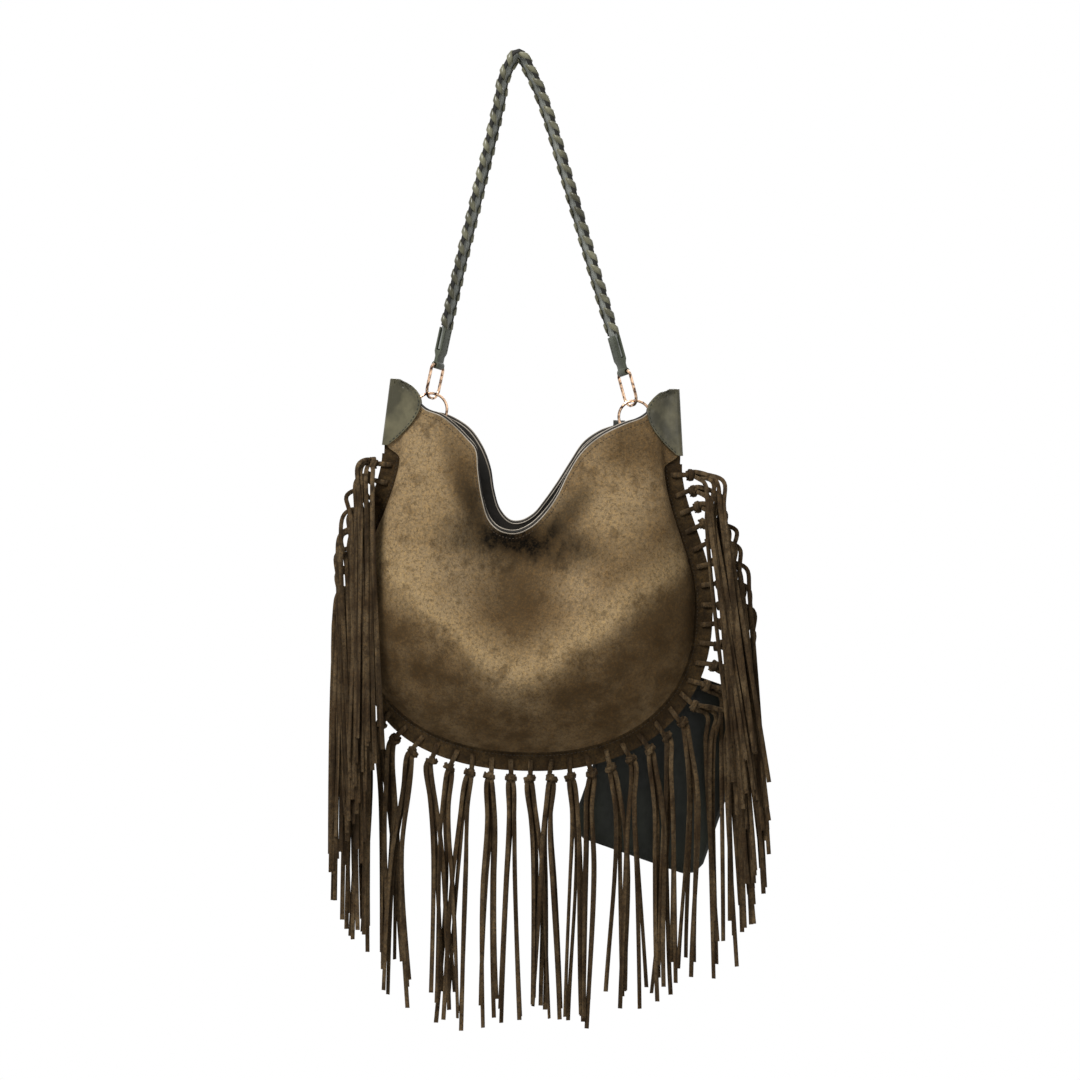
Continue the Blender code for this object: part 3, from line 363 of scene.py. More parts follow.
# %% Smooth leathers, edge paint, lining, thread and zip tape
def coated_leather(name, dye, cloud, roughness, pore_mm=1.3, coat=0.06):
    """Finished smooth hide: cloudy dye, fine pores, and a thin clear coat."""
    mat, tree, shader, coords = new_material(name, roughness)
    cloudy = spread(tree, patches(tree, coords, 24.0, 3.0, 0.5, warp=0.3), 0.38, 0.62)
    tone = blend(tree, cloudy, cloud, dye)
    cells = result(tree, "ShaderNodeTexVoronoi", {"Vector": coords, "Scale": 1000.0 / pore_mm},
                   feature="F1")
    creases = patches(tree, coords, 5.0, 4.0, 0.6)
    tone = blend(tree, spread(tree, creases, 0.55, 0.8, 0.0, 0.4), tone, cloud)
    tree.links.new(tone, shader.inputs["Base Color"])
    pores = relief(tree, shader, spread(tree, cells, 0.0, 0.7), 0.06, 0.35)
    relief(tree, shader, creases, 0.3, 0.3, pores)
    gloss = spread(tree, creases, 0.3, 0.7, roughness - 0.05, roughness + 0.12)
    tree.links.new(gloss, shader.inputs["Roughness"])
    shader.inputs["Specular IOR Level"].default_value = 0.28
    shader.inputs["Coat Weight"].default_value = coat
    shader.inputs["Coat Roughness"].default_value = 0.3
    return mat


def plain_fibre(name, light, dark, thread_mm, roughness=0.85):
    """Woven or spun fibre: two crossed waves of threads at a real spacing."""
    mat, tree, shader, coords = new_material(name, roughness)
    inputs = {"Vector": coords, "Scale": 1000.0 / thread_mm / 20.0, "Distortion": 0.4}
    rows = [add(tree, "ShaderNodeTexWave", inputs, bands_direction=way).outputs["Fac"]
            for way in ("X", "Z")]
    weave = maths(tree, "MULTIPLY", *rows)
    tree.links.new(blend(tree, weave, dark, light), shader.inputs["Base Color"])
    relief(tree, shader, weave, 0.15, 0.5)
    return mat


PATCH_LEATHER = coated_leather("olive green smooth leather", "#66614a", "#3e3b2a", 0.36, 1.3, 0.15)
LACE_LEATHER = coated_leather("dark olive lace leather", "#7c7a62", "#403e2b", 0.3, 1.0, 0.3)
# A near-black copy of the lace leather: painted shade for the dark gaps between the wraps
PAINTED_GAP_SHADE = coated_leather("near black lace leather, painted shade between the wraps", "#191812", "#11100b", 0.6, 1.0, 0.0)
# The core's pale grey is partly the leather's own grey green and partly a painted reflection on its smooth
# face
STRAP_LEATHER = coated_leather("grey green strap leather", "#90938c", "#73766f", 0.45)
TAB_LEATHER = coated_leather("grey green tab leather", "#4d5143", "#3b3f32", 0.42)
FACING_LEATHER = coated_leather("dark brown facing leather", "#1f1a14", "#14110c", 0.6, 1.3, 0.0)
POUCH_LEATHER = coated_leather("near black green leather", "#23261c", "#191b13", 0.42, 1.6)
EDGE_PAINT = coated_leather("pale grey edge paint", "#bdb3a4", "#988e7f", 0.55, 2.0, 0.0)
LINING_CLOTH = plain_fibre("olive cotton twill lining", "#574e3c", "#40382a", 1.2)
THREAD = plain_fibre("bonded polyester thread, dark olive", "#3a3b2c", "#25261b", 0.8, 0.6)
DARK_THREAD = plain_fibre("bonded polyester thread, brown", "#4c3d28", "#2e2417", 0.8, 0.7)
ZIP_TAPE = plain_fibre("black woven zip tape", "#26261f", "#15150f", 0.9)


# %% [markdown]
# The rings are zinc castings plated in a pale rose gold. Plating is smooth, so nearly all that it shows
# is the room. Dark spots painted into its colour stand for dark reflections, and with a little unevenness
# in the roughness they keep it from looking like chrome.


# %% Metals
def plated_zinc(name, colour, roughness):
    """Polished plating over a zinc casting."""
    mat, tree, shader, coords = new_material(name, roughness, 1.0)
    painted_reflection_spots = patches(tree, coords, 5.0, 2.0, 0.6)
    # Painted dark reflections: dark spots mixed into the plating's colour
    tone = blend(tree, spread(tree, painted_reflection_spots, 0.46, 0.6), colour, "#432e23")
    tree.links.new(tone, shader.inputs["Base Color"])
    tree.links.new(spread(tree, painted_reflection_spots, 0.3, 0.7, roughness, roughness + 0.12), shader.inputs["Roughness"])
    relief(tree, shader, painted_reflection_spots, 0.03, 0.3)
    return mat


ROSE_GOLD = plated_zinc("rose gold plated zinc", "#dcb899", 0.14)
TOOTH_METAL = plated_zinc("antique brass zip teeth", "#9a8460", 0.3)
print(len(bpy.data.materials), "materials")

# %% [markdown]
# ## Strips, wires and stitches
# Thongs, laces and edge strips are all one idea: a flat strip that follows a path. The path is a line of
# points that carry the direction in which the strip's width lies, so it can bend and turn as leather
# does. One Geometry Nodes tree gives any such path its section. A second does it for round wire, and a
# third lays stitches on a path.


# %% What all trees share
def new_tree(name, **numbers):
    """An empty geometry tree with a geometry, some numbers and a material as its inputs."""
    tree = bpy.data.node_groups.new(name, "GeometryNodeTree")
    tree.interface.new_socket("Geometry", in_out="INPUT", socket_type="NodeSocketGeometry")
    for label, value in numbers.items():
        socket = tree.interface.new_socket(label, in_out="INPUT", socket_type="NodeSocketFloat")
        socket.default_value = value * MM
    tree.interface.new_socket("Material", in_out="INPUT", socket_type="NodeSocketMaterial")
    tree.interface.new_socket("Geometry", in_out="OUTPUT", socket_type="NodeSocketGeometry")
    return tree, add(tree, "NodeGroupInput").outputs


def close_tree(tree, geometry, material):
    """Real meshes, shaded smooth, with their material, as the tree's output."""
    real = result(tree, "GeometryNodeRealizeInstances", {"Geometry": geometry})
    smooth = result(tree, "GeometryNodeSetShadeSmooth", {"Geometry": real})
    dressed = result(tree, "GeometryNodeSetMaterial", {"Geometry": smooth, "Material": material})
    add(tree, "NodeGroupOutput", {"Geometry": dressed})


def stored(tree, name, data_type):
    """A value that the path's points carry."""
    return result(tree, "GeometryNodeInputNamedAttribute", {"Name": name}, data_type=data_type)


def path_nodes(tree, geometry):
    """The path as a curve whose normals are the stored directions."""
    curve = result(tree, "GeometryNodeMeshToCurve", {"Mesh": geometry})
    normal = stored(tree, "facing", "FLOAT_VECTOR")
    return result(tree, "GeometryNodeSetCurveNormal", {"Curve": curve, "Normal": normal}, mode="FREE")


# %% Trees for strips and wires
STRIP_TREE, given = new_tree("strip along a path", Width=4.0, Thickness=1.5, Corner=0.4)
section = result(STRIP_TREE, "GeometryNodeCurvePrimitiveQuadrilateral",
                 {"Width": given["Width"], "Height": given["Thickness"]})
section = result(STRIP_TREE, "GeometryNodeFilletCurve",
                 {"Curve": section, "Radius": given["Corner"], "Count": 1, "Limit Radius": True},
                 mode="POLY")
swept = result(STRIP_TREE, "GeometryNodeCurveToMesh",
               {"Curve": path_nodes(STRIP_TREE, given["Geometry"]), "Profile Curve": section,
                "Scale": stored(STRIP_TREE, "size", "FLOAT"), "Fill Caps": True})
close_tree(STRIP_TREE, swept, given["Material"])

WIRE_TREE, given = new_tree("round wire along a path", Radius=1.5)
section = result(WIRE_TREE, "GeometryNodeCurvePrimitiveCircle",
                 {"Radius": given["Radius"], "Resolution": 14})
swept = result(WIRE_TREE, "GeometryNodeCurveToMesh",
               {"Curve": path_nodes(WIRE_TREE, given["Geometry"]), "Profile Curve": section,
                "Fill Caps": True})
close_tree(WIRE_TREE, swept, given["Material"])

# %% Tree for stitches, and for anything else that repeats along a path
STITCH_TREE, given = new_tree("stitches along a path", Pitch=4.0, Length=2.8, Thick=0.8, Rise=0.6)
curve = path_nodes(STITCH_TREE, given["Geometry"])
even = result(STITCH_TREE, "GeometryNodeResampleCurve", {"Curve": curve, "Length": given["Pitch"]},
              mode="LENGTH")
tangent = result(STITCH_TREE, "GeometryNodeInputTangent")
aligned = result(STITCH_TREE, "FunctionNodeAxesToRotation",
                 {"Primary Axis": tangent, "Secondary Axis": stored(STITCH_TREE, "facing", "FLOAT_VECTOR")},
                 primary_axis="X", secondary_axis="Z")
grown = result(STITCH_TREE, "ShaderNodeCombineXYZ",
               {"X": given["Length"], "Y": given["Thick"], "Z": given["Rise"]})
bead = result(STITCH_TREE, "GeometryNodeMeshUVSphere", {"Segments": 8, "Rings": 5, "Radius": 0.5})
laid = result(STITCH_TREE, "GeometryNodeInstanceOnPoints",
              {"Points": even, "Instance": bead, "Rotation": aligned, "Scale": grown})
close_tree(STITCH_TREE, laid, given["Material"])


# %% Running a tree on paths, and finishing a piece
def paths_mesh(name, lines, closed=False):
    """Lines of (point, facing, size) as a mesh of edges. facing is the direction of the strip's width."""
    points = [row for line in lines for row in line]
    edges, start = [], 0
    for line in lines:
        edges += [(start + k, start + k + 1) for k in range(len(line) - 1)]
        if closed:
            edges.append((start + len(line) - 1, start))
        start += len(line)
    mesh = bpy.data.meshes.new(name)
    mesh.from_pydata([tuple(p[0]) for p in points], edges, [])
    mesh.attributes.new("facing", "FLOAT_VECTOR", "POINT").data.foreach_set(
        "vector", np.array([tuple(p[1]) for p in points], dtype=float).ravel())
    mesh.attributes.new("size", "FLOAT", "POINT").data.foreach_set(
        "value", np.array([p[2] if len(p) > 2 else 1.0 for p in points], dtype=float))
    return mesh


def plain(name, source):
    """The evaluated shape of an object as a new plain mesh object. The source goes."""
    bpy.context.view_layer.update()
    shape = source.evaluated_get(bpy.context.evaluated_depsgraph_get())
    mesh = bpy.data.meshes.new_from_object(shape)
    bpy.data.objects.remove(source)
    for extra in ("facing", "size"):
        if extra in mesh.attributes:
            mesh.attributes.remove(mesh.attributes[extra])
    mesh.name = name
    return linked(name, mesh)


def done(obj, body, slot, *nodes):
    """The piece rides on its body and stands for the given nodes. The slot is not used."""
    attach(obj, body)
    if nodes:
        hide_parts(*nodes)
    print(f"{obj.name}: {sum(len(p.vertices) - 2 for p in obj.data.polygons)} triangles")
    return obj


def lay(name, tree, lines, material, body, slot, *nodes, closed=False, **sizes):
    """Runs a tree on some paths, with its sizes in millimetres, and finishes the piece."""
    source = linked(name + "_paths", paths_mesh(name, lines, closed))
    run = source.modifiers.new("tree", "NODES")
    run.node_group = tree
    sockets = {s.name: s.identifier for s in tree.interface.items_tree if s.in_out == "INPUT"}
    run[sockets["Material"]] = material
    for label, value in sizes.items():
        run[sockets[label.capitalize()]] = value * MM
    return done(plain(name, source), body, slot, *nodes)


# %% [markdown]
# ## The suede shell
# Each panel is one piece of suede, cut to a round shape with a deep dip at the top, and sewn flat at its
# edge. It could be simulated as cloth, but the hanging shape in the picture is known, so it is drawn
# instead: lines run from the lip to the seam, and a profile says how far the suede stands out along each
# of them. The belly's fold, and small draws and dents from noise, then take away the drawn look.

# %% Outline of the seam
SEAM_TOP_DROP, SEAM_WIDE_DROP, SEAM_DEPTH = 36.0, 205.0, 138.5
SEAM_HALF_WIDTH, SEAM_NECK_HALF_WIDTH, SEAM_ROUNDNESS, SEAM_HALF_THICK = 167.5, 131.5, 2.25, 2.2
FOLD_TOP, FOLD_BOTTOM = (144.0, -25.0), (150.0, 41.5)


def fold_across(drop):
    """How far out the folded side of the bag's corner lies."""
    share = (drop - FOLD_TOP[1]) / (FOLD_BOTTOM[1] - FOLD_TOP[1])
    return FOLD_TOP[0] + share * (FOLD_BOTTOM[0] - FOLD_TOP[0])


def whole_seam(top, follow_fold):
    """The seam from the left top round the bottom to the right top, as (across, drop)."""
    right = []
    for drop in np.linspace(top, SEAM_WIDE_DROP, 60)[:-1]:
        across = SEAM_HALF_WIDTH - (SEAM_HALF_WIDTH - SEAM_NECK_HALF_WIDTH) * ease((190.0 - drop) / 140.0)
        if follow_fold:
            across += ease((54.0 - drop) / 14.0) * (fold_across(drop) - 3.5 - across)
        right.append((across, drop))
    power = 2.0 / SEAM_ROUNDNESS
    for angle in np.linspace(0.0, math.pi / 2, 90):
        right.append((SEAM_HALF_WIDTH * max(math.cos(angle), 0.0) ** power,
                      SEAM_WIDE_DROP + SEAM_DEPTH * math.sin(angle) ** power))
    return np.array([(-x, d) for x, d in right] + right[::-1][1:])


# %% Lips, profiles and the surface between lip and seam
LIPS = {
    "front": [(-141, -21), (-127, -15), (-117, -3), (-109, 5), (-93, 11), (-80, 20), (-66, 33), (-57, 43.5),
              (-54, 65), (-49, 91), (-41, 113), (-30, 123), (-14, 125.5), (2, 118), (17, 102), (27, 86),
              (37, 64), (50, 42), (68, 25.5), (92, 12.5), (109, 5), (117, -3), (127, -15), (141, -21)],
    "back": [(-141, -21), (-127, -15), (-117, -3), (-107, 5), (-85, 12), (-66, 23), (-52, 41), (-43, 62),
             (-38, 85.5), (-31, 104), (-20, 114.5), (-9, 114.6), (4, 107), (14, 94.5), (27, 75), (40, 53),
             (52, 34), (68, 21.5), (84, 15), (107, 5), (117, -3), (127, -15), (141, -21)]}
SIDE = {"front": -1, "back": 1}
BULGE = {"front": 46.0, "back": 26.0}
MOUTH_GAP, MOUTH_GAP_RUN, CORNER_SHARE = 15.0, 30.0, 0.03
FRONT_MIDDLE = through([(0, 0), (0.12, -0.16), (0.3, 0.2), (0.5, 0.74), (0.64, 1.0), (0.71, 0.99),
                        (0.8, 0.78), (0.91, 0.44), (1, 0)])
SIDE_PROFILE = through([(0, 0), (0.25, 0.45), (0.48, 0.84), (0.64, 1.0), (0.73, 0.95), (0.84, 0.7),
                        (0.94, 0.38), (1, 0)])
COLUMNS, ROWS = 168, 84
FOLD_HEIGHT, FOLD_ABOVE, FOLD_BELOW, FOLD_NARROW = 7.5, 40.0, 17.0, 0.78
FOLD_REACH, FOLD_FADE = 150.0, 60.0


def creases(word, across, drop, u, v):
    """The belly's fold and small dents in the suede, in millimetres outwards, dying away at its edges."""
    calm = ease(u / 0.12) * ease((1 - u) / 0.12) * ease(v / 0.1) * ease((1 - v) / 0.14)
    place = Vector((across / 62.0, drop / 95.0, 3.0 * SIDE[word]))
    broad = noise.noise(place) * 2.0 + noise.noise(place * 2.6) * 0.8
    draw = math.sin((across * 0.8 - drop * 0.35) / 13.0) * ease((0.35 - abs(v - 0.45)) / 0.35) * 0.35
    fold = 0.0
    if word == "front":
        below = below_fold(across, drop) * FOLD_NARROW
        fold = FOLD_HEIGHT * math.exp(-(below / (FOLD_ABOVE if below < 0 else FOLD_BELOW))**2)
        fold *= ease((FOLD_REACH - abs(across)) / FOLD_FADE)
    return (broad + draw + fold) * calm


def suede_surface(word):
    """Rows of (across, depth, drop) on a panel's middle surface, from the lip to the seam."""
    columns = np.linspace(0.0, 1.0, COLUMNS + 1)
    coarse = np.concatenate([[0.0], np.linspace(CORNER_SHARE, 1.0 - CORNER_SHARE, 23), [1.0]])
    edge = along(whole_seam(SEAM_TOP_DROP, True), np.interp(columns, np.linspace(0, 1, 25), coarse))
    lip = along(through(LIPS[word]), columns)
    grid = np.zeros((ROWS + 1, COLUMNS + 1, 3))
    for i, v in enumerate(np.linspace(0.0, 1.0, ROWS + 1)):
        side_shape = float(np.interp(v, SIDE_PROFILE[:, 0], SIDE_PROFILE[:, 1]))
        middle_shape = float(np.interp(v, FRONT_MIDDLE[:, 0], FRONT_MIDDLE[:, 1]))
        for k, u in enumerate(columns):
            across, drop = lip[k] + (edge[k] - lip[k]) * v
            shape = side_shape
            if word == "front":
                shape += ease(1.0 - abs(u - 0.5) / 0.22) * (middle_shape - side_shape)
            arch = math.sin(math.pi * u) ** 1.2
            run = 1.0
            if drop < 60.0:
                run = ease((fold_across(drop) - 3.5 - abs(across)) / MOUTH_GAP_RUN)
            mouth = (MOUTH_GAP - SEAM_HALF_THICK) * run * (1.0 - v) ** 2
            depth = SEAM_HALF_THICK + mouth + BULGE[word] * arch * shape + creases(word, across, drop, u, v)
            grid[i, k] = (across, SIDE[word] * depth, drop)
    return grid


SURFACE = {word: suede_surface(word) for word in SIDE}
print("panel grid:", SURFACE["front"].shape)


# %% [markdown]
# A sheet is a grid of quads with Solidify on it. The facing is a smooth leather strip inside the lip, and
# the cotton lining hangs below it. Both follow the suede at a small distance, which is found along the
# surface's own normals.


# %% Sheets: suede, facing and lining
def inward(grid, side):
    """Unit normals that point to the inside of the bag."""
    n = np.cross(np.gradient(grid, axis=1), np.gradient(grid, axis=0))
    n /= np.linalg.norm(n, axis=2, keepdims=True)
    return n * np.sign(-side * n[len(grid) // 2, n.shape[1] // 2, 1])


def mesh_of(bm, name, material):
    """A bmesh as a mesh with one material, shaded smooth."""
    mesh = bpy.data.meshes.new(name)
    bm.to_mesh(mesh)
    bm.free()
    mesh.materials.append(material)
    mesh.shade_smooth()
    return mesh


def sheet_object(name, grid, thickness, material, out_side):
    """A grid of places as a sheet of even thickness. out_side is the side that its faces look to."""
    bm = bmesh.new()
    verts = [[bm.verts.new(spot(*p)) for p in row] for row in grid]
    for above, below in zip(verts, verts[1:]):
        for k in range(len(above) - 1):
            bm.faces.new((above[k], above[k + 1], below[k + 1], below[k]))
    bm.normal_update()
    if bm.faces[:][len(bm.faces) // 2].normal.y * out_side < 0:
        bmesh.ops.reverse_faces(bm, faces=bm.faces[:])
    obj = linked(name + "_sheet", mesh_of(bm, name, material))
    solid = obj.modifiers.new("thickness", "SOLIDIFY")
    solid.thickness = thickness * MM
    solid.offset = 0.0
    made = plain(name, obj)
    made.data.set_sharp_from_angle(angle=math.radians(50))
    return made


def flat_size(grid):
    """Width and length of a sheet's cut, and its area, all measured on the surface."""
    points = np.array([[tuple(spot(*p)) for p in row] for row in grid])
    across, down = np.diff(points, axis=1)[:-1], np.diff(points, axis=0)[:, :-1]
    area = float(np.linalg.norm(np.cross(across, down), axis=2).sum())
    width = float(np.linalg.norm(across, axis=2).sum(axis=1).max())
    length = float(np.linalg.norm(down, axis=2).sum(axis=0).max())
    return (round(width, 3), round(max(length, area / width), 3)), round(area, 4)


SHEETS = {}


def lay_sheet(name, rows, thickness, material, out_side, slot, *nodes):
    """Finishes a sheet of the bag, and notes the size of its cut."""
    rows = np.array(rows)
    piece = done(sheet_object(name, rows, thickness, material, out_side), "bag", slot, *nodes)
    SHEETS[name] = (piece, *flat_size(rows))
    print("  cut about", SHEETS[name][1], "m, area", SHEETS[name][2])


LINER_IN = 1.65
facing_end, lining_end = round(ROWS * 0.13), round(ROWS * 0.9)
for word, side in SIDE.items():
    inner = SURFACE[word] + inward(SURFACE[word], side) * LINER_IN
    lay_sheet(f"{word}_suede", SURFACE[word], 1.4, PANEL_SUEDE if word == "front" else BACK_SUEDE, side,
              "olive_suede", f"{word}_panel")
    lay_sheet(f"{word}_facing", inner[:facing_end + 1], 1.0, FACING_LEATHER, -side, "green_leather",
              f"facing_{word}")
    lay_sheet(f"{word}_lining", inner[facing_end + 1:lining_end, 1:-1], 0.8, LINING_CLOTH, -side,
              "cotton_lining", f"lining_{word}")

# %% Search trees over the two suede panels
bpy.context.view_layer.update()
skin = {word: BVHTree.FromPolygons([v.co for v in SHEETS[f"{word}_suede"][0].data.vertices],
                                   [tuple(p.vertices) for p in SHEETS[f"{word}_suede"][0].data.polygons])
        for word in SIDE}


def skin_depth(word, across, drop):
    """Depth of a panel's outer face at a place, in millimetres, or a little nearer to the bag's middle."""
    for step in range(40):
        share = step * 0.005
        start = spot(across * (1 - share), SIDE[word] * 90.0, drop + (170.0 - drop) * share)
        hit = skin[word].ray_cast(start, Vector((0.0, -SIDE[word], 0.0)))[0]
        if hit is not None:
            return hit.y / MM
    return SIDE[word] * SEAM_HALF_THICK


# %% [markdown]
# The mouth's edge is what the eye follows. Suede and facing end there in one raw edge, which is dark,
# with a line of pale edge paint along each side of it, and a row of fine stitches 4.6 mm below. Beside
# the rings the edge is thinner, so that they can turn.


# %% Painted lips and their stitches
def surface_path(word, row_mm, lift, first=0.0, last=1.0, step=1):
    """A path on a panel, some way below its lip and lifted off it, with the outward normal as facing."""
    grid, inner = SURFACE[word], inward(SURFACE[word], SIDE[word])
    line = []
    for k in range(round(COLUMNS * first), round(COLUMNS * last) + 1, step):
        column = grid[:, k]
        far = np.concatenate([[0.0], np.cumsum(np.linalg.norm(np.diff(column, axis=0), axis=1))])
        place = np.array([np.interp(row_mm, far, column[:, a]) for a in range(3)])
        away = -inner[int(np.interp(row_mm, far, range(ROWS + 1))), k]
        line.append((spot(*(place + away * lift)), Vector((away[0], away[1], -away[2])).normalized()))
    return line


# How far the raw edge and the two lines of paint lie inside the suede, and over the lip
RAW_EDGE, PAINT_IN = (1.0, 1.1), (-0.3, 2.3)
PAINT_OVER = {"front": (0.3, 2.9), "back": (2.9, 0.3)}
LIP_SEWN, LIP_STITCH_LIFT = 4.6, 0.75
RING_PLACE, RING_CLEAR, EDGE_THIN = 112.0, 26.0, 0.3
for word in SIDE:
    grid, inner = SURFACE[word], inward(SURFACE[word], SIDE[word])
    raw_edge, painted = [], ([], [])
    for k in range(2, COLUMNS - 1):
        over = (grid[0, k] - grid[1, k]) / np.linalg.norm(grid[0, k] - grid[1, k])
        over = over * (EDGE_THIN + (1.0 - EDGE_THIN) * ease((RING_PLACE - abs(grid[0, k][0])) / RING_CLEAR))
        facing = Vector((inner[0, k][0], inner[0, k][1], -inner[0, k][2]))
        raw_edge.append((spot(*(grid[0, k] + inner[0, k] * RAW_EDGE[0] + over * RAW_EDGE[1])), facing))
        for line, inside, above in zip(painted, PAINT_IN, PAINT_OVER[word]):
            line.append((spot(*(grid[0, k] + inner[0, k] * inside + over * above)), facing))
    lay(f"{word}_lip_raw_edge", STRIP_TREE, [raw_edge], FACING_LEATHER, "bag", "green_leather", width=2.6,
        thickness=3.0, corner=0.5)
    lay(f"{word}_lip_paint", WIRE_TREE, painted, EDGE_PAINT, "bag", "green_leather", radius=0.6)
    stitched = surface_path(word, LIP_SEWN, LIP_STITCH_LIFT, 0.085, 0.915)
    lay(f"{word}_lip_stitches", STITCH_TREE, [stitched], DARK_THREAD, "bag", "olive_suede", pitch=3.4,
        length=2.3, thick=0.8, rise=0.6)

# %% [markdown]
# ## Corner patches
# A half-moon of smooth leather is folded round the top of each side and stitched 2.3 mm in from its
# curved edge. It is laid on the real surface: each point is dropped on to the suede and lifted by the
# leather's thickness.

# %% Corner patches and their stitches
PATCH, PATCH_OFF, PATCH_NOSE, PATCH_SEWN = 1.5, 1.5, 4.0, 2.3
PATCH_EDGE = through([(135, -24), (122, -18), (114, -8), (113, 3), (119, 16), (132, 31), (144, 41)])
PATCH_STEPS, PATCH_COLUMNS = 34, 14
shares = np.linspace(0, 1, PATCH_STEPS + 1)
column_shares = np.linspace(0, 1, PATCH_COLUMNS + 1)
for word, sign in (("left", -1), ("right", 1)):
    rows, stitch_lines = [], {"front": [], "back": []}
    for share, (edge_across, edge_drop) in zip(shares, along(PATCH_EDGE, shares)):
        fold_drop = FOLD_TOP[1] + share * (FOLD_BOTTOM[1] - FOLD_TOP[1])
        fold = fold_across(fold_drop)
        faces = {}
        for panel, side in SIDE.items():
            line = []
            for k in range(PATCH_COLUMNS + 1):
                t = k / PATCH_COLUMNS
                across = sign * (edge_across + (fold - PATCH_NOSE - edge_across) * t)
                drop = edge_drop + (fold_drop - edge_drop) * t
                depth = skin_depth(panel, across, drop) + side * (PATCH_OFF + PATCH / 2 - 0.4)
                line.append((across, depth, drop))
            faces[panel] = line
            width = abs(fold - PATCH_NOSE - edge_across) + 0.01
            if PATCH_SEWN < width and 0.03 < share < 0.97:
                near = min(PATCH_SEWN / width, 0.9)
                a = np.array([np.interp(near, column_shares, [p[axis] for p in line]) for axis in range(3)])
                stitch_lines[panel].append((spot(a[0], a[1] + side * (PATCH / 2 + 0.15), a[2]),
                                            Vector((0.0, side, 0.0))))
        near, far = faces["front"][-1], faces["back"][-1]
        turns = [(1.1, near[1] * 0.72), (0.25, near[1] * 0.4), (0.0, 0.0), (0.25, far[1] * 0.4),
                 (1.1, far[1] * 0.72)]
        nose = [(sign * (fold - inside), depth, fold_drop) for inside, depth in turns]
        rows.append(faces["front"] + nose + faces["back"][::-1])
    lay_sheet(f"corner_patch_{word}_fine", rows, PATCH, PATCH_LEATHER, -1, "green_leather",
              f"corner_patch_{word}")
    lay(f"corner_patch_{word}_stitches", STITCH_TREE, list(stitch_lines.values()), THREAD, "bag",
        "green_leather", pitch=4.3, length=3.2, thick=1.2, rise=0.8)

# %% [markdown]
# ## Fringe
# A flat suede band is sewn into the seam. A thong is looped over it every 18 mm, knotted just outside the
# edge, and its ends hang to the cut tips. The rule of the CAD model says where each one hangs, with the
# same seed. What is looser here is what soft leather does: the tassels lean together in clumps, their
# tails wave and curl, and in the left flank the band turns to the back. The tails are many, so a tree
# sweeps them all in one go.

# %% The band in the seam
BAND, BAND_SLOT, BAND_WIDTH, BAND_TOP_DROP = 2.4, 8.0, 18.5, 50.0
TASSELS, FIRST_LOOP, LOOP_WIDTH, THONG, THONG_THICK = 44, 12.0, 5.0, 4.4, 1.5
LEAN_BACK = math.radians(62.0)


def offset_line(line, out):
    """A flat line moved sideways, away from the bag."""
    step = np.gradient(line, axis=0)
    step /= np.linalg.norm(step, axis=1, keepdims=True)
    return line + np.column_stack([-step[:, 1], step[:, 0]]) * out


seam = whole_seam(BAND_TOP_DROP, False)
slots = offset_line(seam, BAND_SLOT)
slot_far = np.concatenate([[0.0], np.cumsum(np.linalg.norm(np.diff(slots, axis=0), axis=1))])
slot_length = float(slot_far[-1])


def lean_back(share):
    """How far the band turns to the back, in radians: only in the left flank."""
    return LEAN_BACK * ease((share - 0.03) / 0.13) * ease((0.4 - share) / 0.14)


def seam_frame(share):
    """A point of the seam, the flat way out from it, the band's own way out, and the way its face looks."""
    steps = np.arange(len(seam))
    at = np.interp(share * slot_length, slot_far, steps)
    near, far = ([np.interp(at, steps, line[:, k]) for k in (0, 1)] for line in (seam, slots))
    foot = spot(near[0], 0.0, near[1])
    flat = (spot(far[0], 0.0, far[1]) - foot).normalized()
    turn, back = lean_back(share), Vector((0.0, 1.0, 0.0))
    return (foot, flat, flat * math.cos(turn) + back * math.sin(turn),
            flat * math.sin(turn) - back * math.cos(turn))


margin = FIRST_LOOP / slot_length
centres = np.linspace(margin, 1.0 - margin, TASSELS)
band_rows = []
for share in np.linspace(0.0, 1.0, TASSELS * 8 + 1):
    foot, flat, out, front = seam_frame(share)
    pinch = math.cos(2 * math.pi * (share - margin) * (TASSELS - 1) / (1 - 2 * margin))
    row = []
    for reach in (-4.0, 0.0, 2.0, 5.0, BAND_SLOT, 12.0, 16.0, BAND_WIDTH):
        place = foot + (out * max(reach, 0.0) + flat * min(reach, 0.0)) * MM
        row.append((place.x / MM + HOOK_ACROSS, place.y / MM + 0.25 * pinch * (reach > 4.0),
                    HOOK_DROP - place.z / MM))
    band_rows.append(row)
lay_sheet("fringe_band_suede", band_rows, BAND - 0.3, BAND_SUEDE, -1, "dark_suede", "fringe_band")

# %% Tops of the band, tucked under the corner patches
TOP_TUCK, TOP_REACH, TOP_STEPS = 15.0, 16.5, 8
for word, sign in (("left", -1), ("right", 1)):
    rows = []
    for t in np.linspace(0.0, 1.0, TOP_STEPS + 1):
        drop = BAND_TOP_DROP + 2.0 - TOP_TUCK * t
        start = SEAM_NECK_HALF_WIDTH - 2.0 + 4.0 * t
        end = min(SEAM_NECK_HALF_WIDTH + TOP_REACH, fold_across(drop) - 1.5)
        rows.append([(sign * (start + (end - start) * k / 5), 0.1, drop) for k in range(6)])
    lay_sheet(f"band_top_{word}", rows, BAND - 0.4, BAND_SUEDE, -1, "dark_suede")

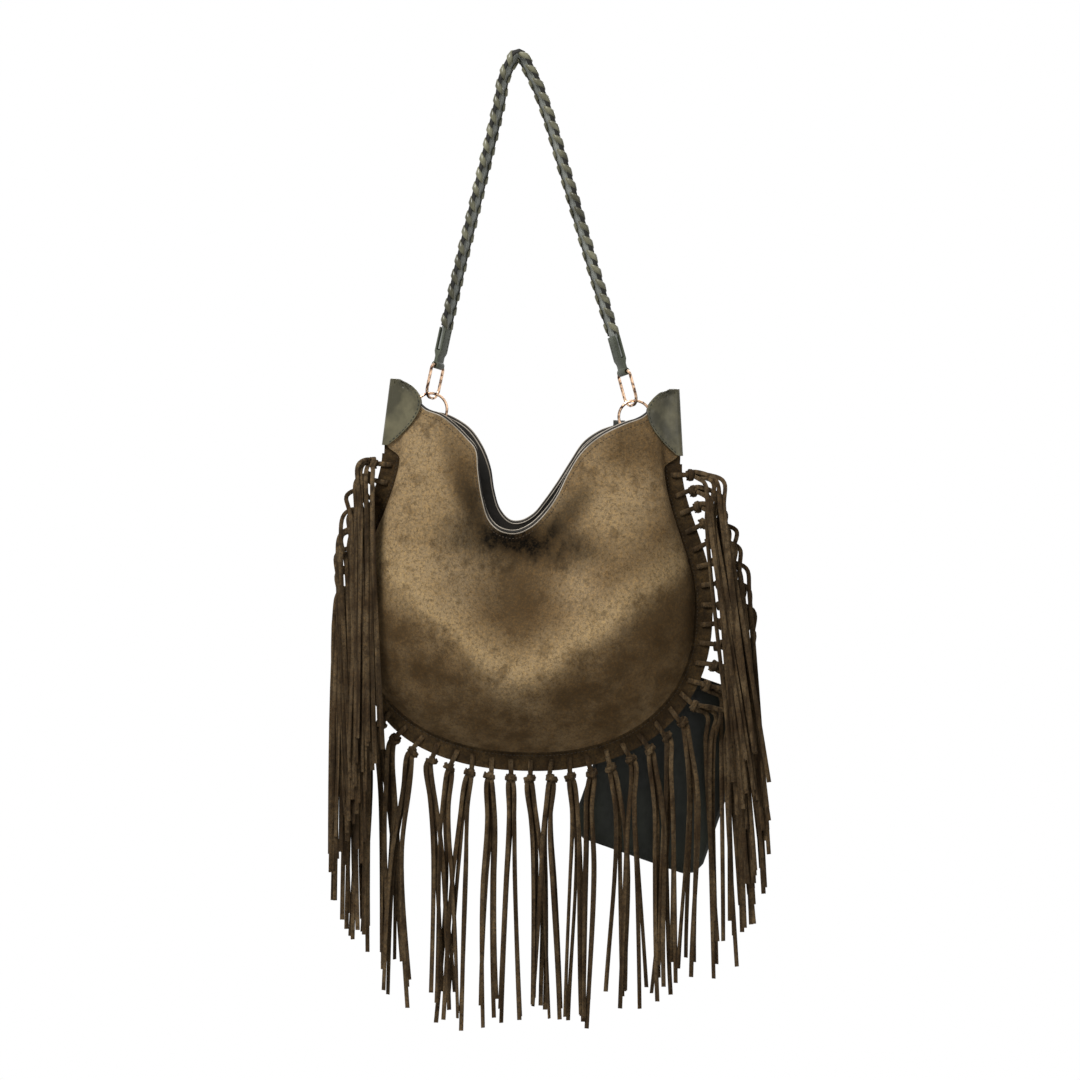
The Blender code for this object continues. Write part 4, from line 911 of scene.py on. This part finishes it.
# %% Where each tassel's tails hang
HANG_BOTTOM, HANG_SIDE, HANG_UNEVEN, HANG_BOW = 240.0, 285.0, 13.0, 5.0
SIDE_COUNT, SIDE_SHORTER, SIDE_SHARE_DOWN = 15.0, 35.0, 0.62
ARCH_LEAST, ARCH_RIGHT, ARM_DROP, HANG_DROP = 10.0, 18.0, 6.0, 34.0
BACK_IN_LEFT, FLARE_RIGHT, COLUMN = 9.0, 34.0, 5.6
KNOT_STEPS, LOOP_RAISE = (2.6, 8.0), 1.2


def side_layer(from_top):
    """Depth of a side tassel: the upper ones hang in front of the knots below, the lower ones behind."""
    return -34.0 + 3.0 * from_top if from_top < 9 else 7.5 + 3.0 * (12 - from_top)


def tail_places(root, centre, out, over, behind, column, layer, from_top, sway, chance):
    """The turning points of one tail, from its root in the knot to its cut end, in metres."""
    if layer is None:
        length = (HANG_BOTTOM + chance.uniform(-HANG_UNEVEN, HANG_UNEVEN)) * MM
        drift = PLUMB_LEAN * length + (sway + over * chance.uniform(0.8, 5.0)) * MM
        end = root + Vector((drift, behind * chance.uniform(0.3, 2.5) * MM, -length))
        bow = chance.uniform(-1.0, 1.0) * MM + HANG_BOW * MM * out.x
        return [root, root.lerp(end, 0.4) + Vector((bow, 0.0, 0.0)), end]
    right = out.x > 0
    share = 1.0 - from_top / SIDE_COUNT
    length = (HANG_SIDE + chance.uniform(-HANG_UNEVEN, HANG_UNEVEN) - SIDE_SHORTER * (1 - share)) * MM
    offset = (column - 1.5) * COLUMN * MM
    reach = math.copysign((ARCH_RIGHT if right else ARCH_LEAST) * MM, out.x) + offset
    arm = Vector((centre.x + reach, root.y * 0.8 + layer * MM * 0.45, root.z - ARM_DROP * MM))
    hang = Vector((arm.x + (0.0 if right else BACK_IN_LEFT * MM), layer * MM, centre.z - HANG_DROP * MM))
    slack = FLARE_RIGHT * share * MM if right else 0.0
    drift = PLUMB_LEAN * length + slack + (column - 1.5) * 0.9 * MM + sway * 0.15 * MM
    return [root, arm, hang, Vector((hang.x + drift, layer * MM, hang.z - length + HANG_DROP * MM))]


# %% How thongs gather, wave and curl
LOOP_PROUD, KNOT_WIDE, PULLED_IN, GATHER = 0.45, 4.1, 2.0, 0.62
chance = random.Random(7)
detail = random.Random(23)


def gathered(count):
    """How far each tassel leans to its neighbours, in millimetres, so that 1 to 3 hang in a clump."""
    shifts, k = [], 0
    while k < count:
        size = min(detail.choice((1, 2, 2, 3)), count - k)
        lean = detail.uniform(-4.5, 4.5)
        shifts += [lean + (size / 2 - 0.5 - j) * slot_length / count * GATHER for j in range(size)]
        k += size
    return shifts


def loose(places, hang, wave, turns):
    """A tail's path with the slow waves, curls and half turns of soft leather. hang scales the waves."""
    dense = through([tuple(p) for p in places], 7)
    curl, start = (detail.uniform(0.0, 2 * math.pi) for _ in range(2))
    wide_by, deep_by = detail.uniform(1.2, 2.6) * hang * MM, detail.uniform(0.8, 3.0) * MM
    twist = detail.uniform(-0.8, 0.8)
    line = []
    for step, place in enumerate(dense):
        t = step / (len(dense) - 1)
        way = Vector(dense[min(step + 1, len(dense) - 1)] - dense[max(step - 1, 0)])
        way.y = 0.0
        way.normalize()
        wide = Vector((-way.z, 0.0, way.x))
        free = ease(t * 1.6)
        place = Vector(place) + wide * wide_by * math.sin(wave + 2 * math.pi * turns * t) * free
        place.y += deep_by * math.sin(curl + 5.0 * t) * free
        turn = (twist * t + 0.35 * math.sin(start + 7.0 * t)) * free
        line.append((place, wide * math.cos(turn) + Vector((0.0, math.sin(turn), 0.0)), 1.0))
    return line


# %% Loops, knots and tails as paths
TAILS = ((-1, -1), (-1, 1), (1, -1), (1, 1))
KNOT_POINTS, KNOT_TURNS, KNOT_OVAL, KNOT_START, KNOT_RISE = 17, 0.85, 1.12, 2.0, 4.4
# How far the front and the back tails start to the side, and how deep
ROOT_ASIDE, ROOT_DEEP = {-1: 2.4, 1: 1.0}, 2.2
# How loose the loops and tails are: lean, uneven tips, splay, fan, and the side tails' jitter
LOOP_LEAN, TRIM, SPLAY, FAN, SIDE_LOOSE = 1.6, (-4.0, 16.0), 7.0, (1.7, 2.2), (2.5, 3.5, 8.0)
# Along the band's width and as a share of its thickness: a loop comes up through its slot, lies on the
# band's face, and closes to the knot
slot_at = BAND_SLOT - BAND_WIDTH
LOOP_LEGS = [(slot_at - 0.6, 0.2), (slot_at + 0.6, 0.75), (slot_at + 3.0, 1.0), (-3.0, 1.0), (0.5, 0.95),
             (4.0, 0.62), (8.0, 0.45)]
face = BAND / 2 + THONG_THICK / 2 + LOOP_PROUD
loop_lines, knot_lines, tail_lines, knot_cores = [], [], [], []
clumps = gathered(TASSELS)
for k, share in enumerate(centres):
    foot, flat, out, front = seam_frame(share)
    middle = foot + out * BAND_WIDTH * MM
    across = front.cross(out).normalized()
    # The CAD model skews its plain loops by this draw, so it is drawn here too and the later ones agree
    chance.random()
    sway = chance.uniform(-3.0, 3.0)
    from_top = min(k, TASSELS - 1 - k)
    layer = side_layer(from_top) if -flat.z < SIDE_SHARE_DOWN else None
    knot_start = middle + out * (LOOP_RAISE + KNOT_STEPS[0]) * MM
    knot_end = middle + out * (LOOP_RAISE + sum(KNOT_STEPS)) * MM
    lean = across * detail.uniform(-LOOP_LEAN, LOOP_LEAN) * MM
    for side in (-1, 1):
        loop_lines.append([(middle + out * a * MM - front * side * face * b * MM + lean * a * 0.14, across,
                            1.0 if a < 2 else 0.9) for a, b in LOOP_LEGS])
    phase, slip = detail.uniform(0, 2 * math.pi), detail.uniform(-1.4, 1.4) * MM
    for first in (0.0, 3.0):
        knot = []
        for t in np.linspace(0.0, 1.0, KNOT_POINTS):
            angle = phase + first + 2 * math.pi * KNOT_TURNS * t
            rim = across * math.cos(angle) * KNOT_OVAL + front * math.sin(angle)
            up = LOOP_RAISE + KNOT_STEPS[0] + KNOT_START + KNOT_RISE * (t if first else 1 - t)
            place = middle + out * up * MM
            place += rim * (KNOT_WIDE + 0.5 * math.sin(math.pi * t)) * MM + across * slip
            knot.append((place, (out + rim * 0.4 * math.sin(2 * math.pi * t)).normalized(), 1.0))
        knot_lines.append(knot)
    knot_cores.append([(knot_start - out * 0.5 * MM, across, 1.0),
                       ((knot_start + knot_end) / 2 + across * slip, across, 1.3),
                       (knot_end + out * 0.8 * MM, across, 0.95)])
    wave, turns = detail.uniform(0.0, 2 * math.pi), detail.uniform(0.7, 1.6)
    for column, (over, behind) in enumerate(TAILS):
        root = knot_end + across * over * ROOT_ASIDE[behind] * MM - front * behind * ROOT_DEEP * MM
        places = tail_places(root, knot_end, out, over, behind, column, layer, from_top, sway, chance)
        # The CAD model's own twist of the tail, drawn for the same reason
        chance.random()
        trim = Vector((0.0, 0.0, detail.uniform(*TRIM) * MM))
        if layer is None:
            lean_by = clumps[k] * MM
            splay = detail.uniform(-SPLAY, SPLAY) * MM
            fan = (column - 1.5) * MM
            places[1] += Vector((lean_by * 0.75 + fan * FAN[0] + detail.uniform(-1.5, 1.5) * MM, 0.0, 0.0))
            places[2] += Vector((lean_by + fan * FAN[1] + splay, 0.0, 0.0)) + trim
            start = Vector((lean_by * 0.12 - over * 0.3 * MM, 0.0, 0.0))
            places.insert(1, root.lerp(places[1], 0.35) + start)
        else:
            inner = Vector((PULLED_IN * MM if out.x < 0 else 0.0, 0.0, 0.0))
            jitter = [Vector((detail.uniform(-a, a) * MM, detail.uniform(-1.5, 1.5) * MM, 0.0))
                      for a in SIDE_LOOSE]
            places[1] += inner * 3.5 + jitter[0]
            places[2] += inner + jitter[1]
            places[3] += inner + jitter[1] + jitter[2] + trim
        places = [knot_end - out * 4.0 * MM] + places
        tail_lines.append(loose(places, 1.0 if layer is None else 0.8, wave + detail.uniform(-0.4, 0.4),
                                turns))
lengths = [sum((b[0] - a[0]).length for a, b in zip(line, line[1:])) for line in tail_lines]
print(f"{len(tail_lines)} tails, {min(lengths) * 1000:.0f} to {max(lengths) * 1000:.0f} mm long")

# %% Sweep the fringe
# Each with its width, thickness and corner in millimetres
FRINGE = {"loops": (loop_lines, LOOP_WIDTH, THONG_THICK, 0.45), "knots": (knot_lines, 4.8, 1.9, 0.7),
          "knot_cores": (knot_cores, 6.0, 5.4, 2.0), "tails": (tail_lines, THONG, THONG_THICK, 0.35)}
FRINGE_BITS = [lay(f"fringe_{name}", STRIP_TREE, lines, THONG_SUEDE, "bag", "dark_suede", width=width,
                   thickness=thick, corner=corner)
               for name, (lines, width, thick, corner) in FRINGE.items()]

# %% [markdown]
# The seam itself is a thin rolled edge where panel and band meet, with a row of stitches beside it on the
# band.

# %% Seam roll and seam stitches
seam_rolls = []
for side in SIDE.values():
    seam_rolls.append([(spot(x, side * (SEAM_HALF_THICK + 0.55), d), Vector((0.0, side, 0.0)))
                       for x, d in along(seam, np.linspace(0.0, 1.0, 260))])
lay("seam_roll", WIRE_TREE, seam_rolls, BAND_SUEDE, "bag", "olive_suede", radius=0.8)
band_stitches = [[], []]
for share in np.linspace(0.0, 1.0, 320):
    foot, flat, out, front = seam_frame(share)
    for line, way in zip(band_stitches, (front, -front)):
        line.append((foot + out * 3.2 * MM + way * (BAND / 2 + 0.1) * MM, way))
lay("band_stitches", STITCH_TREE, band_stitches, DARK_THREAD, "bag", "dark_suede", pitch=3.6, length=2.5,
    thick=0.7, rise=0.5)

# %% [markdown]
# ## The laced strap
# The strap is a flat leather core. A flat lace goes over its two edges in short slanted wraps, one every
# 14.6 mm, and shows as a row of rounded lumps with dark gaps between them, beside the paler face of the
# core. The dark of the gaps is painted shade: a near-black strip along each edge of the core. Each wrap
# is a short path round the edge, and the strip tree gives it its section, so the lumps come out rounded
# and slanted as pulled lace does.

# %% Path and frames of the strap
STRAP_LINE = through([(-91, -77), (-79, -140), (-66, -203), (-46, -303), (-41, -333), (-28.3, -353.5),
                      (-14.5, -334), (-1, -305), (33, -206), (55, -140), (77, -75)], 24)
STRAP_WIDTH, STRAP, STRAP_TURN, LACE_PITCH = 14.5, 3.2, math.radians(26.0), 14.6
OVAL_TOP = {"left": (-97.5, -40.0), "right": (88.0, -40.0)}
strap_length = float(np.linalg.norm(np.diff(STRAP_LINE, axis=0), axis=1).sum())


def strap_frame(share):
    """Middle place, and the directions of the run, near edge and top face, at a share of the strap."""
    back, place, ahead = along(STRAP_LINE, [max(share - 0.004, 0.0), share, min(share + 0.004, 1.0)])
    run = (spot(ahead[0], 0, ahead[1]) - spot(back[0], 0, back[1])).normalized()
    away = Vector((-run.z, 0.0, run.x))
    near = Vector((0.0, -1.0, 0.0)) * math.cos(STRAP_TURN) + away * math.sin(STRAP_TURN)
    return spot(place[0], 0.0, place[1]), run, near, near.cross(run).normalized()


def tab_frame(word):
    """Where an end tab starts, the way to its ring, and its width's and top face's directions."""
    place, run, near, top = strap_frame(0.0 if word == "left" else 1.0)
    away = (spot(OVAL_TOP[word][0], 0.0, OVAL_TOP[word][1]) - place).normalized()
    width = (near - away * near.dot(away)).normalized()
    side = width.cross(away).normalized()
    return place, away, width, side if side.dot(top) > 0 else -side


# %% Strap core
core = []
for share in np.linspace(0.0, 1.0, 150):
    place, run, near, top = strap_frame(share)
    core.append((place, near, 1.0))
for word in ("left", "right"):
    place, away, near, top = tab_frame(word)
    tongue = [(place + away * reach * MM, near, 0.84) for reach in (21.5, 12.0, 2.0)]
    core = tongue + core if word == "left" else core + tongue[::-1]
lay("strap_core", STRIP_TREE, [core], STRAP_LEATHER, "handle", "laced_leather", "handle_strap",
    width=STRAP_WIDTH - 0.6, thickness=STRAP, corner=1.0)

# %% Lace wraps over both edges
WRAPS = int((strap_length - 6.0) / LACE_PITCH)
WRAP_IN, WRAP_REACH, WRAP_SWELL, WRAP_SLANT, WRAP_SHINGLE, WRAP_TURN = 3.0, 2.7, 1.2, 5.4, 0.1, 108.0
lace_lines, gap_shade_lines = [], []
for k in range(WRAPS):
    place, run, near, top = strap_frame((k + 0.5) / WRAPS)
    for sign in (1, -1):
        line = []
        for step in range(17):
            angle = math.radians(WRAP_TURN) * (step / 8 - 1.0)
            rim = near * sign * math.cos(angle) + top * math.sin(angle)
            full = max(math.cos(angle * 0.68), 0.0)
            out_by = (STRAP_WIDTH / 2 - WRAP_IN) * near * sign + rim * (WRAP_REACH + WRAP_SWELL * full)
            line.append((place + out_by * MM + run * WRAP_SLANT * math.sin(angle * 0.7) * MM,
                         (run - rim * WRAP_SHINGLE).normalized(), 0.6 + 0.4 * full))
        lace_lines.append(line)
# A near-black strip along each edge of the core: painted shade that shows in the gaps between the wraps
for sign in (1, -1):
    line = []
    for share in np.linspace(0.004, 0.996, 220):
        place, run, near, top = strap_frame(share)
        line.append((place + near * sign * (STRAP_WIDTH / 2 - 0.2) * MM, top, 1.0))
    gap_shade_lines.append(line)
lay("strap_lace_wraps", STRIP_TREE, lace_lines, LACE_LEATHER, "handle", "laced_leather", width=8.8,
    thickness=2.4, corner=1.0)
lay("strap_painted_gap_shade", STRIP_TREE, gap_shade_lines, PAINTED_GAP_SHADE, "handle", "laced_leather", width=4.6,
    thickness=2.4, corner=0.9)

# %% [markdown]
# ## Tabs, loops and the pouch
# Pieces whose CAD shape is right only need what a knife and a sewing machine leave: a rounded edge and a
# row of stitches. A copy of the solid is merged, made of whole faces again and bevelled. The flat tabs
# are sewn 2 mm in from their edges.


# %% Softened copies of CAD solids
def softened(node, material, bevel_mm, body, slot):
    """A copy of a CAD solid with whole faces and rounded edges, finished to stand for it."""
    bm = bmesh.new()
    bm.from_mesh(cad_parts[node].data)
    bmesh.ops.remove_doubles(bm, verts=bm.verts, dist=0.00002)
    bmesh.ops.dissolve_limit(bm, angle_limit=math.radians(1.5), verts=bm.verts, edges=bm.edges)
    source = linked(node + "_soft_source", mesh_of(bm, node + "_soft", material))
    edge = source.modifiers.new("edge", "BEVEL")
    edge.width = bevel_mm * MM
    edge.segments = 3
    edge.limit_method = "ANGLE"
    edge.angle_limit = math.radians(38)
    made = plain(node + "_soft", source)
    made.data.shade_smooth()
    made.data.set_sharp_from_angle(angle=math.radians(40))
    done(made, body, slot, node)


TAB_SEWN_IN, TAB_FACE = 2.0, STRAP / 2 + 0.3 + 1.6 + 0.05
for word in ("left", "right"):
    softened(f"end_tab_{word}", TAB_LEATHER, 0.45, "handle", "green_leather")
    softened(f"ring_loop_{word}", TAB_LEATHER, 0.5, "bag", "green_leather")
    place, away, width, side = tab_frame(word)
    rows = []
    for face in (1, -1):
        for edge in (1, -1):
            aside = width * edge * (STRAP_WIDTH / 2 - TAB_SEWN_IN) * MM + side * face * TAB_FACE * MM
            rows.append([(place + away * (3.0 + 18.0 * t) * MM + aside, side * face)
                         for t in np.linspace(0, 1, 12)])
    lay(f"end_tab_{word}_stitches", STITCH_TREE, rows, THREAD, "handle", "green_leather", pitch=3.4,
        length=2.4, thick=0.8, rise=0.6)

# %% [markdown]
# The rings are wire, so they are drawn as wire: a circle, and a long loop that is narrow at the top,
# swept by the wire tree. Each keeps the CAD ring's own place and size, with its wire 0.1 mm finer, so
# that the rings clear each other at every turn.

# %% Rings
RING_RADIUS, WIRE, RING_DROP, OVAL_WIRE, OVAL_PLAY, WIRE_FINER = 16.0, 3.0, 4.0, 3.2, 1.5, 0.1
OVAL_HALF, OVAL_TOP_ROUND, OVAL_FOOT_ROUND = 12.4, 4.8, 10.0
RING_ACROSS = {"left": -103.0, "right": 101.0}


def arc(middle, radius, first, last, count):
    """Points of an arc, angles in degrees."""
    return [(middle[0] + radius * math.cos(math.radians(t)), middle[1] + radius * math.sin(math.radians(t)))
            for t in np.linspace(first, last, count)]


for word in ("left", "right"):
    circle = []
    for angle in np.linspace(0, 2 * math.pi, 73)[:-1]:
        rim = Vector((math.cos(angle), 0.0, math.sin(angle)))
        circle.append((spot(RING_ACROSS[word], 0.0, RING_DROP) + rim * RING_RADIUS * MM, rim))
    lay(f"round_ring_{word}_wire", WIRE_TREE, [circle], ROSE_GOLD, f"ring_{word}", "rose_gold_metal",
        f"round_ring_{word}", closed=True, radius=WIRE / 2 - WIRE_FINER)
    place, away, width, side = tab_frame(word)
    eye = spot(OVAL_TOP[word][0], 0.0, OVAL_TOP[word][1])
    drop = RING_DROP - RING_RADIUS + (WIRE + OVAL_WIRE) / 2 + OVAL_PLAY - OVAL_TOP[word][1]
    depth = drop / abs(away.z)
    half, r, s = OVAL_HALF, OVAL_TOP_ROUND, OVAL_FOOT_ROUND
    flat = arc((half - r, -r), r, 90, 0, 10) + arc((half - s, -depth + s), s, 0, -90, 14)
    flat += arc((-half + s, -depth + s), s, -90, -180, 14) + arc((-half + r, -r), r, 180, 90, 10)
    loop = [(eye + width * x * MM - away * y * MM, side) for x, y in flat]
    lay(f"oval_ring_{word}_wire", WIRE_TREE, [loop], ROSE_GOLD, f"oval_{word}", "rose_gold_metal",
        f"oval_ring_{word}", closed=True, radius=OVAL_WIRE / 2 - WIRE_FINER)

# %% [markdown]
# The magnetic snap is a thin pressed cup. Spinning a small profile round its axis gives the rim and the
# sunken face.

# %% Snap halves
SNAP_PROFILE = [(0.0, 0.55), (0.25, 0.55), (0.32, 0.2), (0.72, 0.2), (0.8, 0.9), (0.93, 1.0), (1.0, 0.7),
                (1.0, -1.0), (0.0, -1.0)]
for word, side in SIDE.items():
    low, high = (Vector(p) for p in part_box(f"snap_{word}"))
    middle, radius, thick = (low + high) / 2, (high.x - low.x) / 2, (high.y - low.y) / 2
    bm = bmesh.new()
    rings = [[bm.verts.new(middle + Vector((math.cos(a) * r * radius, -side * h * thick,
                                            math.sin(a) * r * radius)))
              for a in np.linspace(0, 2 * math.pi, 41)[:-1]] for r, h in SNAP_PROFILE]
    for a, b in zip(rings, rings[1:]):
        for k in range(40):
            bm.faces.new((a[k], a[(k + 1) % 40], b[(k + 1) % 40], b[k]))
    bmesh.ops.remove_doubles(bm, verts=bm.verts, dist=0.00001)
    bmesh.ops.recalc_face_normals(bm, faces=bm.faces)
    mesh = mesh_of(bm, f"snap_{word}_cup", ROSE_GOLD)
    mesh.set_sharp_from_angle(angle=math.radians(35))
    done(linked(f"snap_{word}_cup", mesh), "bag", "rose_gold_metal", f"snap_{word}")

# %% [markdown]
# ## The zip pouch
# A flat pouch hangs behind the bag on a leash. It is two faces of dark leather turned in at the top, with
# a zip between them. Its teeth are a repeating shape, so the stitch tree lays them, with other sizes.

# %% Pouch, leash, zip and slider
POUCH_TURN, POUCH_HALF, POUCH_PLACE = math.radians(17.2), (69.5, 95.0), (145.0, 356.0)
turn_u = Vector((math.cos(POUCH_TURN), 0.0, -math.sin(POUCH_TURN)))
turn_v = Vector((math.sin(POUCH_TURN), 0.0, math.cos(POUCH_TURN)))
low, high = (Vector(p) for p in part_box("pouch_body"))
pouch_depth, pouch_thick = (low.y + high.y) / 2, (high.y - low.y) / 2
pouch_middle = spot(POUCH_PLACE[0], 0.0, POUCH_PLACE[1]) + Vector((0.0, pouch_depth, 0.0))


def on_pouch(u, v, depth):
    """A point at a place on the turned pouch in millimetres, and a depth from its middle in metres."""
    return pouch_middle + turn_u * u * MM + turn_v * v * MM + Vector((0.0, depth, 0.0))


softened("pouch_body", POUCH_LEATHER, 0.35, "pouch", "black_leather")
softened("pouch_leash", POUCH_LEATHER, 0.4, "pouch", "black_leather")
softened("leash_anchor", POUCH_LEATHER, 0.4, "bag", "black_leather")
softened("zip_slider", ROSE_GOLD, 0.35, "slider", "rose_gold_metal")
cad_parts["pouch_zip"].data.materials.clear()
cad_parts["pouch_zip"].data.materials.append(ZIP_TAPE)

half, top = POUCH_HALF
POUCH_ROWS, POUCH_SEAM_END, ZIP_END, TEETH_UP, TEETH_ASIDE = (4.0, 7.5), 5.5, 9.5, 2.6, 0.55
pouch_rows = [[(on_pouch(u, top - inset, side * (pouch_thick + 0.05 * MM)), Vector((0.0, side, 0.0)))
               for u in np.linspace(-half + POUCH_SEAM_END, half - POUCH_SEAM_END, 60)]
              for side in (-1, 1) for inset in POUCH_ROWS]
lay("pouch_stitches", STITCH_TREE, pouch_rows, THREAD, "pouch", "black_leather", pitch=3.6, length=2.5,
    thick=0.7, rise=0.5)
teeth = [[(on_pouch(u, top + TEETH_UP, side * TEETH_ASIDE * MM), turn_v)
          for u in np.linspace(-half + ZIP_END + (side + 1) * 0.6, half - ZIP_END, 60)]
         for side in (-1, 1)]
lay("pouch_zip_teeth", STITCH_TREE, teeth, TOOTH_METAL, "pouch", "dark_metal", pitch=2.4, length=1.5,
    thick=1.5, rise=1.9)

# %% [markdown]
# Every sheet says the size that it was cut to, so that it can be checked that the drawing hasn't
# stretched it.

# %% Sizes of the cuts
for piece, flat, area in SHEETS.values():
    area = min(area, flat[0] * flat[1])
    if area < 0.3 * flat[0] * flat[1]:
        flat = (flat[0], round(area / flat[0] / 0.5, 3))
